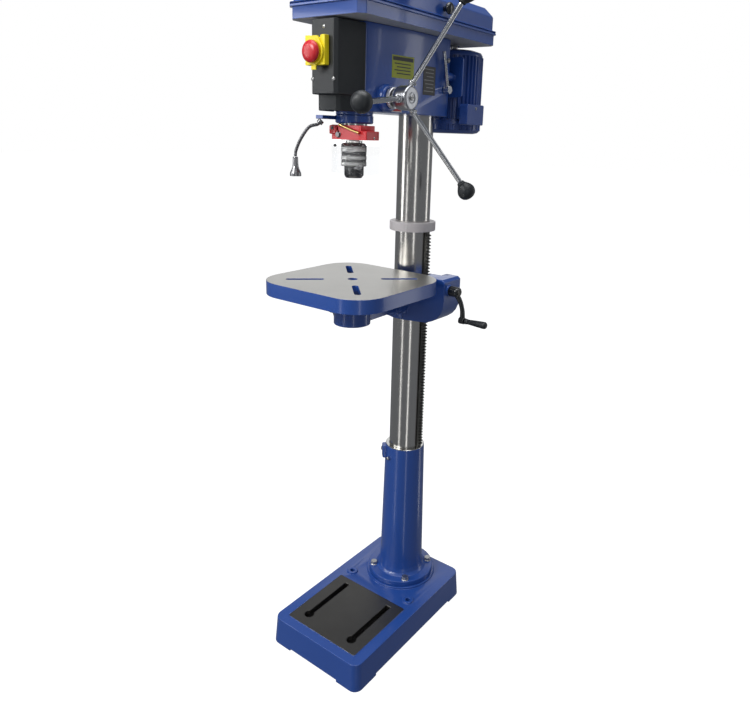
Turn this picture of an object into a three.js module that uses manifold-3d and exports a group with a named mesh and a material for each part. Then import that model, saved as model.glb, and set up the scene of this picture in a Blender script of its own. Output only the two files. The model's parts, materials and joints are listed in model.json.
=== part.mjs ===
// Floor-standing pillar drill. Millimetres, +Z up. The column axis is x = y = 0 and the floor is z = 0.
// The operator stands at -Y, so +X is the operator's right, where the feed handles and the crank are.
import * as THREE from 'three';
import Module from 'manifold-3d';
import { mergeVertices } from 'three/addons/utils/BufferGeometryUtils.js';

const wasm = await Module();
wasm.setup();

// ---- Driving dimensions -------------------------------------------------------------------------
const GAP = 0.3; // between faces that seat on each other
const FIT = 0.3; // radial clearance of shafts and bores
const BOLT_FIT = 0.8; // radial clearance of bolts in their holes

const COLUMN_R = 46;
const COLUMN_WALL = 5;

const BASE_W = 312;
const BASE_L = 504;
const BASE_REAR = 109; // how far the base runs behind the column axis
const BASE_H = 78;
const BASE_CORNER = 24;
const BASE_WALL = 14;
const BASE_ROOF = 24;
const BASE_DRAFT = 5;
const FOOT_H = 6;
const GROUND_W = 242;
const GROUND_FRONT = 31; // base front edge to the ground area
const GROUND_L = 221;
const GROUND_PROUD = 2;
const TSLOT_X = 78;
const TSLOT_W = 15;
const TSLOT_HEAD_W = 26;
const TSLOT_HEAD_H = 9;
const TSLOT_MOUTH_H = 13;
const TSLOT_L = 162;
const TSLOT_FRONT = 70; // base front edge to the slot's front end
const ANCHOR_X = 106;
const ANCHOR_Y = -107;
const ANCHOR_R = 7;

const PAD_MARGIN = 6;
const PAD_H = 6;
const FLANGE_REACH = 34; // flange edge beyond the socket root
const FLANGE_H = 16;
const SOCKET_TOP = 510;
const SOCKET_WALL = 11;
const SOCKET_FLARE = 7; // how much wider the root is than the top
const SOCKET_BOLT_INSET = 14; // flange edge to bolt axis
const SOCKET_BOLT_R = 6;
const SOCKET_BOLT_HEAD_R = 10;
const SOCKET_BOLT_HEAD_H = 9;

const COLLAR_BOTTOM = 1144;
const COLLAR_H = 24;
const COLLAR_WALL = 16;
const RACK_W = 16;
const LIFT_PITCH_R = 20;
const LIFT_TEETH = 14;

const TABLE_TOP = 1045;
const TABLE_SIZE = 342;
const TABLE_CLEAR = 75; // column axis to the table's rear edge
const TABLE_CORNER = 80;
const TABLE_SKIRT = 34;
const TABLE_PLATE = 16;
const TABLE_RIM = 12;
const TABLE_HOLE_R = 12;
const TABLE_SLOT_W = 15;
const TABLE_SLOT_L = 92;
const TABLE_SLOT_R = 116; // table centre to slot centre
const SPIGOT_R = 28;
const SPIGOT_L = 66;

const BRACKET_WALL = 16;
const BRACKET_DROP = 140; // table top to the bracket's lower end
const BRACKET_H = 99;
const TILT_RISE = 57; // above the bracket's lower end
const TILT_FLANGE_R = 42;
const TILT_REACH = 34; // column's front to the plane between the bracket and the table arm
const ARM_RING_R = 46;
const ARM_RING_H = 53;
const ARM_RING_RISE = 27; // above the bracket's lower end
const CRANK_Y = -38;
const WORM_RISE = 42; // worm axis above the wheel axis
const HOUSING_X = 150; // outer face of the gear housing
const HOUSING_FRONT = -60;
const HOUSING_REAR = 18;
const HOUSING_H = 129;
const CRANK_THROW = 72;
const GRIP_L = 64;

const HEAD_BOTTOM = 1440;
const HEAD_H = 188;
const HEAD_FRONT_W = 50; // half-widths of the casting
const HEAD_REAR_W = 68;
const HEAD_NOSE = 22; // spindle axis to the head's front face
const HEAD_REAR = 64;
const COLUMN_GRIP = 150; // how far the column enters the head
const QUILL_BOSS_R = 43;
const QUILL_BOSS_DROP = 8.7; // below the head
const NOSE_R = 44;
const NOSE_DROP = 27; // below the head
const COVER_DEPTH = 84;
const COVER_FRONT_W = 39;
const COVER_WALL = 4;
const COVER_STEP = 32; // the cover's step above the head's underside

const HOUSING_W = 106; // belt housing half-width
const BELT_NOSE = 104; // spindle axis to the belt housing's front
const BELT_REAR = 205;
const SEAM_RISE = 31; // head top to the belt cover's seam
const COVER_RISE = 61; // seam to the cover's top
const BELT_CHAMFER = 14;
const SHEET = 3;
const LIP = 4;
const LID_SLOPE = 18; // how far the roof leans in
const LID_ROOF = 22; // height of the leaning part

const STEP_H = 12;
const STEP_RADII = [34, 43, 52, 61];
const MOTOR_STEP_RADII = [16, 21, 26, 31];
const GROOVE_DEPTH = 6;
const PULLEY_RISE = 13; // head top to the pulleys
const IDLER_Y = -36;
const BELT_THICK = 6;
const BELT_H = 4.8;

const MOTOR_Y = 168;
const MOTOR_R = 81;
const MOTOR_FIN = 5;
const MOTOR_FINS = 20;
const MOTOR_DROP = 41; // below the head's underside
const MOTOR_H = 216;
const FAN_COVER_H = 34;
const MOTOR_SHAFT_R = 9;
const MOTOR_PLATE_W = 172;
const MOTOR_PLATE_Y = 78;
const MOTOR_PLATE_T = 6;
const MOTOR_PLATE_RISE = 50; // above the head's underside
const SLIDE_ROD_X = 57;
const SLIDE_ROD_R = 7;
const MOTOR_PLATE_H = 100;
const SLIDE_ROD_REACH = 54;
const MOTOR_TRAVEL = 10;

const QUILL_R = 30;
const QUILL_BORE_R = 14;
const QUILL_DROP = 64; // below the head's underside
const QUILL_L = 199;
const PINION_PITCH_R = 17;
const PINION_TEETH = 14;
const PINION_RISE = 32; // above the head's underside
const SHAFT_R = 9;
const FEED_HUB_R = 27;
const FEED_HUB_X = [86, 130];
const ROD_R = 6;
const ROD_ROOT_X = 112;
const ROD_ROOT_R = 18;
const ROD_TIP_X = 187;
const ROD_TIP_R = 228;
const ROD_PHASE = 65;
const KNOB_R = 22;
const KNOB_L = 46;
const RING_X = [73.5, 83];
const RING_R = 24;

const SPINDLE_R = 12;
const CHUCK_R = 30;
const CHUCK_GAP = 6; // quill to chuck
const CHUCK_BODY_H = 26;
const CHUCK_SLEEVE_H = 27;
const CHUCK_NOSE_H = 27;
const NOSE_CONE_R = 22.5;
const CHUCK_MOUTH_R = 19;
const JAW_SLOPE = 14; // degrees from the chuck axis
const JAW_W = 6;
const JAW_L = 30;
const MOUTH_CAVITY_R = 11;

const GUARD_H = 32;
const GUARD_LEDGE = 12; // upper block's height over the lower one
const GUARD_RISE = 1; // above the quill's lower end
const GUARD_WALL = 8; // round the quill
const GUARD_RIGHT = 68; // spindle axis to the clamp's right end
const SHIELD_H = 77;
const SHIELD_T = 3;
const SHIELD_DEPTH = 48;
const SHIELD_RETURN = 20; // depth of its short left side

const SWITCH_X = -9.5;
const SWITCH_W = 57;
const SWITCH_RISE = 90; // above the head's underside
const SWITCH_H = 60;
const SWITCH_DEPTH = 14;
const STOP_RISE = 26; // above the switch box's lower edge
const STOP_R = 27;
const LAMP_R = 3.6;

const THROAT = TABLE_CLEAR + TABLE_SIZE / 2; // column axis to spindle axis, over the table's centre
const SPINDLE_Y = -THROAT;
const PINION_Y = SPINDLE_Y + QUILL_R - 2 + PINION_PITCH_R;
const BASE_FRONT = BASE_REAR - BASE_L;
const PAD_TOP = BASE_H + PAD_H;
const FLANGE_BOTTOM = PAD_TOP + GAP;
const FLANGE_TOP = FLANGE_BOTTOM + FLANGE_H;
const SOCKET_R = COLUMN_R + SOCKET_WALL;
const SOCKET_ROOT_R = SOCKET_R + SOCKET_FLARE;
const FLANGE_R = SOCKET_ROOT_R + FLANGE_REACH;
const PAD_R = FLANGE_R + PAD_MARGIN;
const SOCKET_BOLT_CIRCLE = FLANGE_R - SOCKET_BOLT_INSET;
const COLLAR_R = COLUMN_R + COLLAR_WALL;
const BRACKET_R = COLUMN_R + BRACKET_WALL;
const TILT_FACE_Y = -(COLUMN_R + TILT_REACH);
const RACK_BACK = COLUMN_R + 0.8;
const RACK_ROOT = RACK_BACK + 5.5;
const BRACKET_BOTTOM = TABLE_TOP - BRACKET_DROP;
const BRACKET_TOP = BRACKET_BOTTOM + BRACKET_H;
const HOUSING_TOP = BRACKET_BOTTOM + HOUSING_H;
const TILT_Z = BRACKET_BOTTOM + TILT_RISE;
const ARM_RING_BOTTOM = BRACKET_BOTTOM + ARM_RING_RISE;
const CRANK_Z = TILT_Z + WORM_RISE;
const HEAD_FRONT = SPINDLE_Y - HEAD_NOSE;
const COVER_FRONT = HEAD_FRONT - COVER_DEPTH;
const BELT_FRONT = SPINDLE_Y - BELT_NOSE;
const GUARD_R = QUILL_R + GUARD_WALL;
const GUARD_LEFT = GUARD_R - 2;
const HEAD_TOP = HEAD_BOTTOM + HEAD_H;
const COLUMN_TOP = HEAD_BOTTOM + COLUMN_GRIP;
const QUILL_BOSS_BOTTOM = HEAD_BOTTOM - QUILL_BOSS_DROP;
const NOSE_BOTTOM = HEAD_BOTTOM - NOSE_DROP;
const COVER_STEP_Z = HEAD_BOTTOM + COVER_STEP;
const BELT_SEAM = HEAD_TOP + SEAM_RISE;
const BELT_TOP = BELT_SEAM + COVER_RISE;
const PULLEY_BOTTOM = HEAD_TOP + PULLEY_RISE;
const MOTOR_BOTTOM = HEAD_BOTTOM - MOTOR_DROP;
const MOTOR_TOP = MOTOR_BOTTOM + MOTOR_H;
const MOTOR_PLATE_Z = [HEAD_BOTTOM + MOTOR_PLATE_RISE, HEAD_BOTTOM + MOTOR_PLATE_RISE + MOTOR_PLATE_H];
const SLIDE_ROD_Z = (MOTOR_PLATE_Z[0] + MOTOR_PLATE_Z[1]) / 2;
const QUILL_BOTTOM = HEAD_BOTTOM - QUILL_DROP;
const QUILL_TOP = QUILL_BOTTOM + QUILL_L;
const PINION_Z = HEAD_BOTTOM + PINION_RISE;
const CHUCK_TOP = QUILL_BOTTOM - CHUCK_GAP;
const CHUCK_SPLIT = CHUCK_TOP - CHUCK_BODY_H;
const CHUCK_STEP = CHUCK_SPLIT - CHUCK_SLEEVE_H;
const CHUCK_MOUTH = CHUCK_STEP - CHUCK_NOSE_H;
const GUARD_BOTTOM = QUILL_BOTTOM + GUARD_RISE;
const GUARD_TOP = GUARD_BOTTOM + GUARD_H;
const GUARD_STEP = GUARD_TOP - GUARD_LEDGE;
const SHIELD_BOTTOM = GUARD_BOTTOM - SHIELD_H;
const SWITCH_Z = [HEAD_BOTTOM + SWITCH_RISE, HEAD_BOTTOM + SWITCH_RISE + SWITCH_H];
const STOP_Z = SWITCH_Z[0] + STOP_RISE;

// ---- Materials ----------------------------------------------------------------------------------
const finish = (color, roughness, metalness, extra = {}) =>
  new THREE.MeshStandardMaterial({ color, roughness, metalness, ...extra });
const BLUE = finish(0x1f4f9e, 0.4, 0);
const GROUND = finish(0xbdbab0, 0.35, 1);
const STEEL = finish(0xb8b8b4, 0.25, 1);
const CHROME = finish(0xe0e2e6, 0.1, 1);
const BLACK = finish(0x14181c, 0.45, 0);
const RED = finish(0xc8202c, 0.45, 0);
const YELLOW = finish(0xf2e01e, 0.5, 0);
const GREEN = finish(0x1e9a3c, 0.5, 0);
const GREY = finish(0xb0acae, 0.5, 0);
const DARK_STEEL = finish(0x4a4c50, 0.3, 1);
const CLEAR = finish(0xe8eef2, 0.1, 0, { transparent: true, opacity: 0.35 });
const RUBBER = finish(0x1a1a1a, 0.8, 0);

// ---- Solids from three.js geometry --------------------------------------------------------------
function signedVolume(points, index) {
  const [a, b, c] = [new THREE.Vector3(), new THREE.Vector3(), new THREE.Vector3()];
  let sum = 0;
  for (let i = 0; i < index.length; i += 3) {
    a.fromArray(points, 3 * index[i]);
    b.fromArray(points, 3 * index[i + 1]);
    c.fromArray(points, 3 * index[i + 2]);
    sum += a.dot(b.cross(c));
  }
  return sum;
}

// A closed geometry as a solid: seams merged, flat slivers dropped, faces turned outwards.
function solid(geometry) {
  const bare = geometry.clone();
  bare.deleteAttribute('normal');
  bare.deleteAttribute('uv');
  const merged = mergeVertices(bare, 1e-4);
  const points = merged.attributes.position.array;
  let index = [];
  const all = merged.index.array;
  for (let i = 0; i < all.length; i += 3) {
    const [a, b, c] = [all[i], all[i + 1], all[i + 2]];
    if (a !== b && b !== c && c !== a) index.push(a, b, c);
  }
  if (signedVolume(points, index) < 0) index = index.reverse();
  const triVerts = new Uint32Array(index);
  const vertProperties = new Float32Array(points);
  return new wasm.Manifold(new wasm.Mesh({ numProp: 3, vertProperties, triVerts }));
}

const union = (first, ...rest) => rest.reduce((sum, next) => sum.add(next), first);
const cut = (body, ...tools) => tools.reduce((rest, tool) => rest.subtract(tool), body);

function named(name, body, material, place = {}) {
  const { numProp, vertProperties, triVerts } = body.getMesh();
  const points = new Float32Array((vertProperties.length / numProp) * 3);
  for (let i = 0; i < points.length / 3; i += 1) {
    points.set(vertProperties.subarray(i * numProp, i * numProp + 3), i * 3);
  }
  const geometry = new THREE.BufferGeometry();
  geometry.setAttribute('position', new THREE.BufferAttribute(points, 3));
  geometry.setIndex(new THREE.BufferAttribute(new Uint32Array(triVerts), 1));
  geometry.computeVertexNormals();
  const mesh = new THREE.Mesh(geometry, material);
  mesh.name = name;
  if (place.at) mesh.position.set(...place.at);
  if (place.turn) mesh.rotation.set(...place.turn.map(THREE.MathUtils.degToRad));
  return mesh;
}

function block([x0, x1], [y0, y1], [z0, z1]) {
  const box = new THREE.BoxGeometry(x1 - x0, y1 - y0, z1 - z0);
  return solid(box.translate((x0 + x1) / 2, (y0 + y1) / 2, (z0 + z1) / 2));
}

// A round bar along an axis, from one coordinate to another; `at` gives the other two, in XYZ order.
function bar(axis, [from, to], r, at = [0, 0], sides = 32, rEnd = r) {
  const shape = new THREE.CylinderGeometry(rEnd, r, to - from, sides);
  const middle = (from + to) / 2;
  if (axis === 'x') return solid(shape.rotateZ(-Math.PI / 2).translate(middle, at[0], at[1]));
  if (axis === 'y') return solid(shape.translate(at[0], middle, at[1]));
  return solid(shape.rotateX(Math.PI / 2).translate(at[0], at[1], middle));
}

// A closed [radius, height] outline turned about Z.
function turned(profile, sides = 32) {
  const points = profile.map(([r, z]) => new THREE.Vector2(r, z));
  if (profile[0][0] > 0) points.push(points[0].clone());
  return solid(new THREE.LatheGeometry(points, sides).rotateX(Math.PI / 2));
}

const outline = (points) => new THREE.Shape(points.map(([x, y]) => new THREE.Vector2(x, y)));

function slab(shape, [z0, z1], curveSegments = 6) {
  const geometry = new THREE.ExtrudeGeometry(shape, { depth: z1 - z0, bevelEnabled: false, curveSegments });
  return solid(geometry.translate(0, 0, z0));
}

// An [x, z] outline run along Y.
function sideSlab(shape, [y0, y1], curveSegments = 6) {
  const geometry = new THREE.ExtrudeGeometry(shape, { depth: y1 - y0, bevelEnabled: false, curveSegments });
  return solid(geometry.rotateX(Math.PI / 2).translate(0, y1, 0));
}

// A slab whose sides lean in by `inset` as it rises; `centre` and `half` give the outline's box.
function leaningSlab(shape, [z0, z1], inset, { centre, half }, curveSegments = 6) {
  const geometry = new THREE.ExtrudeGeometry(shape, { depth: z1 - z0, bevelEnabled: false, curveSegments });
  const points = geometry.attributes.position;
  for (let i = 0; i < points.count; i += 1) {
    const lean = (inset * points.getZ(i)) / (z1 - z0);
    const x = centre[0] + (points.getX(i) - centre[0]) * (1 - lean / half[0]);
    const y = centre[1] + (points.getY(i) - centre[1]) * (1 - lean / half[1]);
    points.setXYZ(i, x, y, points.getZ(i) + z0);
  }
  return solid(geometry);
}

function roundedBox([x0, x1], [y0, y1], r) {
  const shape = new THREE.Shape();
  shape.moveTo(x0 + r, y0).lineTo(x1 - r, y0).absarc(x1 - r, y0 + r, r, -Math.PI / 2, 0, false);
  shape.lineTo(x1, y1 - r).absarc(x1 - r, y1 - r, r, 0, Math.PI / 2, false);
  shape.lineTo(x0 + r, y1).absarc(x0 + r, y1 - r, r, Math.PI / 2, Math.PI, false);
  shape.lineTo(x0, y0 + r).absarc(x0 + r, y0 + r, r, Math.PI, 1.5 * Math.PI, false);
  return shape;
}

function hexBolt(name, place, headR, headH, shankR, shankL, material = STEEL) {
  const head = bar('z', [0, headH], headR, [0, 0], 6);
  const shank = bar('z', [-shankL, 0], shankR, [0, 0], 8);
  return named(name, union(head, shank), material, place);
}

// ---- Gearing ------------------------------------------------------------------------------------
const TOOTH = { addendum: 0.75, dedendum: 1.05, slack: 0.1, angle: THREE.MathUtils.degToRad(20) };
const modulus = (pitchR, teeth) => (2 * pitchR) / teeth;
const involute = (angle) => Math.tan(angle) - angle;

// A straight rack in [out, along] form: its pitch line is out = 0 and a tooth is centred on along = 0.
function rackTeeth(module, first, last) {
  const pitch = Math.PI * module;
  const half = (pitch / 4) * (1 - TOOTH.slack);
  const tip = TOOTH.addendum * module;
  const root = TOOTH.dedendum * module;
  const lean = Math.tan(TOOTH.angle);
  const points = [];
  for (let i = first; i <= last; i += 1) {
    points.push([-root, i * pitch - half - root * lean], [tip, i * pitch - half + tip * lean]);
    points.push([tip, i * pitch + half - tip * lean], [-root, i * pitch + half + root * lean]);
  }
  return points;
}

// A spur gear about Z with a gap facing the -X side.
function gear(pitchR, teeth, [z0, z1]) {
  const module = modulus(pitchR, teeth);
  const baseR = pitchR * Math.cos(TOOTH.angle);
  const tipR = pitchR + TOOTH.addendum * module;
  const rootR = pitchR - TOOTH.dedendum * module;
  const atPitch = (Math.PI / 2 / teeth) * (1 - TOOTH.slack);
  const atBase = atPitch + involute(TOOTH.angle);
  const atTip = atBase - involute(Math.acos(baseR / tipR));
  const points = [];
  for (let i = 0; i < teeth; i += 1) {
    const middle = Math.PI + ((i + 0.5) * 2 * Math.PI) / teeth;
    const flank = [[rootR, -atBase], [pitchR, -atPitch], [tipR, -atTip]];
    const back = flank.map(([r, a]) => [r, -a]).reverse();
    [...flank, ...back].forEach(([r, a]) => points.push([r * Math.cos(middle + a), r * Math.sin(middle + a)]));
  }
  return slab(outline(points), [z0, z1]);
}

// ---- Stand --------------------------------------------------------------------------------------
const BASE_BOX = { centre: [0, BASE_REAR - BASE_L / 2], half: [BASE_W / 2, BASE_L / 2] };

function tSlot(x) {
  const front = BASE_FRONT + TSLOT_FRONT;
  const top = BASE_H + GROUND_PROUD;
  const neck = top - TSLOT_MOUTH_H;
  const floor = neck - TSLOT_HEAD_H;
  const mouth = block([x - TSLOT_W / 2, x + TSLOT_W / 2], [front, front + TSLOT_L], [floor, top + 1]);
  const head = block([x - TSLOT_HEAD_W / 2, x + TSLOT_HEAD_W / 2], [front, front + TSLOT_L], [floor, neck]);
  const keyhole = bar('z', [floor, top + 1], TSLOT_HEAD_W / 2, [x, front], 14);
  return union(mouth, head, keyhole);
}

function socketBoltSpots() {
  const reach = SOCKET_BOLT_CIRCLE / Math.SQRT2;
  return [[reach, -reach], [reach, reach], [-reach, reach], [-reach, -reach]];
}

function base() {
  const half = BASE_W / 2;
  const outer = roundedBox([-half, half], [BASE_FRONT, BASE_REAR], BASE_CORNER);
  const body = leaningSlab(outer, [0, BASE_H], BASE_DRAFT, BASE_BOX, 3);
  const inHalf = half - BASE_WALL;
  const inner = roundedBox([-inHalf, inHalf], [BASE_FRONT + BASE_WALL, BASE_REAR - BASE_WALL], BASE_WALL);
  const hollow = leaningSlab(inner, [-1, BASE_H - BASE_ROOF], BASE_DRAFT, BASE_BOX, 2);
  const post = bar('z', [0, BASE_H], COLUMN_R, [0, 0], 20);
  const groundFront = BASE_FRONT + GROUND_FRONT;
  const groundArea = roundedBox([-GROUND_W / 2, GROUND_W / 2], [groundFront, groundFront + GROUND_L], 6);
  const ground = slab(groundArea, [BASE_H - 1, BASE_H + GROUND_PROUD], 2);
  const pad = bar('z', [BASE_H - 1, PAD_TOP], PAD_R, [0, 0], 28);
  const bosses = [-1, 1].map((s) => bar('z', [BASE_H - 1, BASE_H + 4], 16, [s * ANCHOR_X, ANCHOR_Y], 14));
  const anchors = [-1, 1].map((s) => bar('z', [20, BASE_H + 5], ANCHOR_R, [s * ANCHOR_X, ANCHOR_Y], 10));
  const across = block([-85, 85], [BASE_FRONT - 1, BASE_REAR + 1], [-1, FOOT_H]);
  const along = block([-half - 1, half + 1], [BASE_FRONT + 83, BASE_REAR - 65], [-1, FOOT_H]);
  const bolts = socketBoltSpots().map((at) => bar('z', [BASE_H - BASE_ROOF - 1, PAD_TOP + 1],
    SOCKET_BOLT_R + BOLT_FIT, at, 8));
  const shell = union(cut(body, hollow, across, along), post, ground, pad, ...bosses);
  return cut(shell, tSlot(-TSLOT_X), tSlot(TSLOT_X), ...anchors, ...bolts);
}

function columnSocket() {
  const bore = COLUMN_R + FIT;
  const rootZ = FLANGE_TOP + 32;
  const profile = [[bore, FLANGE_BOTTOM], [FLANGE_R, FLANGE_BOTTOM], [FLANGE_R, FLANGE_TOP - 3],
    [FLANGE_R - 3, FLANGE_TOP], [SOCKET_ROOT_R + 9, FLANGE_TOP], [SOCKET_ROOT_R + 3, FLANGE_TOP + 9],
    [SOCKET_ROOT_R, rootZ], [SOCKET_R, SOCKET_TOP], [bore, SOCKET_TOP]];
  const tube = turned(profile, 28);
  const lug = block([SOCKET_R - 6, SOCKET_R + 10], [-13, 13], [SOCKET_TOP - 42, SOCKET_TOP - 4]);
  const pinch = union(tube, cut(lug.rotate([0, 0, -135]), bar('z', [0, SOCKET_TOP + 1], bore, [0, 0], 28)));
  const bolts = socketBoltSpots().map((at) => bar('z', [FLANGE_BOTTOM - 1, FLANGE_TOP + 2],
    SOCKET_BOLT_R + BOLT_FIT, at, 8));
  return cut(pinch, ...bolts, setScrewHole());
}

const SET_SCREW = { x: -16, z: SOCKET_TOP - 34, r: 5 };
const setScrewHole = () => bar('y', [-SOCKET_R - 10, -COLUMN_R + 8], SET_SCREW.r, [SET_SCREW.x, SET_SCREW.z], 8);

function column() {
  const inner = COLUMN_R - COLUMN_WALL;
  return turned([[inner, PAD_TOP + GAP], [COLUMN_R, PAD_TOP + GAP], [COLUMN_R, COLUMN_TOP], [inner, COLUMN_TOP]], 28);
}

function columnCollar() {
  const bore = COLUMN_R + FIT;
  const top = COLLAR_BOTTOM + COLLAR_H;
  return turned([[bore, COLLAR_BOTTOM], [COLLAR_R, COLLAR_BOTTOM], [COLLAR_R, top - 2], [COLLAR_R - 2, top],
    [bore, top]], 28);
}

function rack() {
  const module = modulus(LIFT_PITCH_R, LIFT_TEETH);
  const pitch = Math.PI * module;
  const pitchX = RACK_ROOT + TOOTH.dedendum * module;
  const [bottom, top] = [SOCKET_TOP + GAP, COLLAR_BOTTOM - GAP];
  const first = Math.ceil((bottom + pitch / 2 - TILT_Z) / pitch);
  const last = Math.floor((top - pitch / 2 - TILT_Z) / pitch);
  const teeth = rackTeeth(module, first, last).map(([out, along]) => [pitchX + out, TILT_Z + along]);
  const back = [[RACK_ROOT, top], [RACK_BACK, top], [RACK_BACK, bottom], [RACK_ROOT, bottom]];
  return sideSlab(outline([...teeth, ...back]), [-RACK_W / 2, RACK_W / 2]);
}

// ---- Table --------------------------------------------------------------------------------------
const LIFT_X = RACK_ROOT + TOOTH.dedendum * modulus(LIFT_PITCH_R, LIFT_TEETH) + LIFT_PITCH_R;
const WHEEL_R = LIFT_PITCH_R + 6;
const WORM_R = CRANK_Z - TILT_Z - WHEEL_R - 0.6;
const WORM_END = LIFT_X + 24;

function tableBracket() {
  const sleeve = bar('z', [BRACKET_BOTTOM, BRACKET_TOP], BRACKET_R, [0, 0], 28);
  const shape = new THREE.Shape();
  shape.moveTo(20, BRACKET_BOTTOM).lineTo(96, BRACKET_BOTTOM + 6);
  shape.quadraticCurveTo(HOUSING_X, BRACKET_BOTTOM + 22, HOUSING_X, TILT_Z + 14);
  shape.lineTo(HOUSING_X, HOUSING_TOP - 6).lineTo(HOUSING_X - 8, HOUSING_TOP).lineTo(106, HOUSING_TOP);
  shape.lineTo(102, HOUSING_TOP - 7).lineTo(50, HOUSING_TOP - 7);
  shape.lineTo(44, BRACKET_TOP + 2).lineTo(20, BRACKET_TOP + 2);
  const housing = sideSlab(shape, [HOUSING_FRONT, HOUSING_REAR], 5);
  const crankBoss = bar('x', [HOUSING_X - 2, HOUSING_X + 5], 15, [CRANK_Y, CRANK_Z], 18);
  const neck = block([-TILT_FLANGE_R + 8, TILT_FLANGE_R - 8], [TILT_FACE_Y + 14, -COLUMN_R + 6], [TILT_Z - 36, TILT_Z + 30]);
  const flange = bar('y', [TILT_FACE_Y + GAP, TILT_FACE_Y + 22], TILT_FLANGE_R, [0, TILT_Z], 24);
  const lock = bar('x', [-BRACKET_R - 8, -40], 13, [20, TILT_Z - 6], 14);
  const body = union(sleeve, housing, crankBoss, neck, flange, lock);
  const wheelRoom = bar('y', [-56, 14], WHEEL_R + 3, [LIFT_X, TILT_Z], 20);
  const wormRoom = bar('x', [LIFT_X - 22, WORM_END + 1], WORM_R + 3, [CRANK_Y, CRANK_Z], 14);
  const wormBore = bar('x', [WORM_END - 1, HOUSING_X + 6], SHAFT_R + FIT, [CRANK_Y, CRANK_Z], 16);
  const rackWay = block([COLUMN_R - 8, RACK_ROOT + 8], [-RACK_W / 2 - 1, RACK_W / 2 + 1], [BRACKET_BOTTOM - 1, HOUSING_TOP + 1]);
  const bore = bar('z', [BRACKET_BOTTOM - 1, HOUSING_TOP + 1], COLUMN_R + FIT, [0, 0], 28);
  const pivot = bar('y', [TILT_FACE_Y - 1, -COLUMN_R + 6], 9.5, [0, TILT_Z], 16);
  const lockBore = bar('x', [-BRACKET_R - 9, -40], 6 + FIT, [20, TILT_Z - 6], 12);
  return cut(body, bore, rackWay, wheelRoom, wormRoom, wormBore, pivot, lockBore);
}

function liftGear() {
  const pinion = gear(LIFT_PITCH_R, LIFT_TEETH, [-12, 12]);
  const wheel = bar('z', [-12 - 38, -13], WHEEL_R, [0, 0], 20);
  return union(pinion, bar('z', [-14, -11], 12, [0, 0], 12), wheel);
}

function wormShaft() {
  const worm = bar('x', [LIFT_X - 20, WORM_END - 1], WORM_R, [0, 0], 14);
  return union(worm, bar('x', [LIFT_X - 20, HOUSING_X + 34], SHAFT_R, [0, 0], 16));
}

// The crank in its own frame: shaft along X, arm hanging towards -Z.
function tableCrank() {
  const start = HOUSING_X + 5 + GAP;
  const hub = bar('x', [start, start + 27], 14, [0, 0], 18);
  const path = new THREE.CatmullRomCurve3([
    new THREE.Vector3(start + 16, 0, -6), new THREE.Vector3(start + 30, 0, -22),
    new THREE.Vector3(start + 40, 0, -44), new THREE.Vector3(start + 40, 0, -CRANK_THROW - 8)]);
  const section = roundedBox([-6.5, 6.5], [-7, 7], 3.5);
  const swept = new THREE.ExtrudeGeometry(section, { steps: 7, extrudePath: path, curveSegments: 1 });
  const eye = bar('x', [start + 32, start + 47], 9, [0, -CRANK_THROW], 14);
  const bore = bar('x', [start - 1, HOUSING_X + 34 + GAP], SHAFT_R + FIT, [0, 0], 16);
  return cut(union(hub, solid(swept), eye), bore);
}

function crankGrip() {
  const start = HOUSING_X + 5 + GAP + 47 + 1;
  const profile = [[0, 0], [7, 0], [7.5, 4], [6.5, 14], [9.5, GRIP_L - 8], [8, GRIP_L - 1], [0, GRIP_L]];
  return turned(profile, 14).rotate([0, 90, 0]).translate([start, 0, 0]);
}

// A lock handle about its own X axis: hub, short arm and a ball end.
function lockHandle(shankL, armL) {
  const hub = bar('x', [0, 16], 10, [0, 0], 14);
  const shank = bar('x', [-shankL, 1], 6, [0, 0], 10);
  const arm = bar('z', [-armL, 0], 4.5, [8, 0], 8);
  const ball = new THREE.SphereGeometry(9, 10, 6).rotateX(Math.PI / 2).translate(8, 0, -armL);
  return union(hub, shank, arm, solid(ball));
}

function tiltBolt() {
  const head = bar('y', [TILT_FACE_Y - 16 - GAP - 10, TILT_FACE_Y - 16 - GAP], 15, [0, TILT_Z], 6);
  return union(head, bar('y', [TILT_FACE_Y - 16 - GAP - 1, TILT_FACE_Y + 28], 9, [0, TILT_Z], 14));
}

function tableArm() {
  const face = TILT_FACE_Y - GAP;
  const flange = bar('y', [face - 16, face], TILT_FLANGE_R, [0, TILT_Z], 24);
  const top = ARM_RING_BOTTOM + ARM_RING_H;
  const ring = bar('z', [ARM_RING_BOTTOM, top], ARM_RING_R, [0, SPINDLE_Y], 24);
  const web = outline([[-26, face - 4], [26, face - 4], [30, SPINDLE_Y + 20], [-30, SPINDLE_Y + 20]]);
  const neck = cut(slab(web, [ARM_RING_BOTTOM + 4, top]), tiltBoltRoom());
  const rib = block([-7, 7], [SPINDLE_Y + 30, face - 8], [ARM_RING_BOTTOM - 2, top + 8]);
  const lockBoss = bar('x', [-ARM_RING_R - 8, -30], 13, [SPINDLE_Y, TILT_Z - 6], 14);
  const body = union(ring, neck, cut(rib, tiltBoltRoom()), flange, lockBoss);
  const bore = bar('z', [ARM_RING_BOTTOM - 8, top + 9], SPIGOT_R + FIT, [0, SPINDLE_Y], 24);
  const pivot = bar('y', [face - 17, face + 1], 9.5, [0, TILT_Z], 16);
  const lockBore = bar('x', [-ARM_RING_R - 9, -20], 6 + FIT, [SPINDLE_Y, TILT_Z - 6], 12);
  return cut(body, bore, pivot, lockBore);
}

const tiltBoltRoom = () => bar('y', [TILT_FACE_Y - 46, TILT_FACE_Y - 16 - GAP], 19, [0, TILT_Z], 14);

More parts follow.
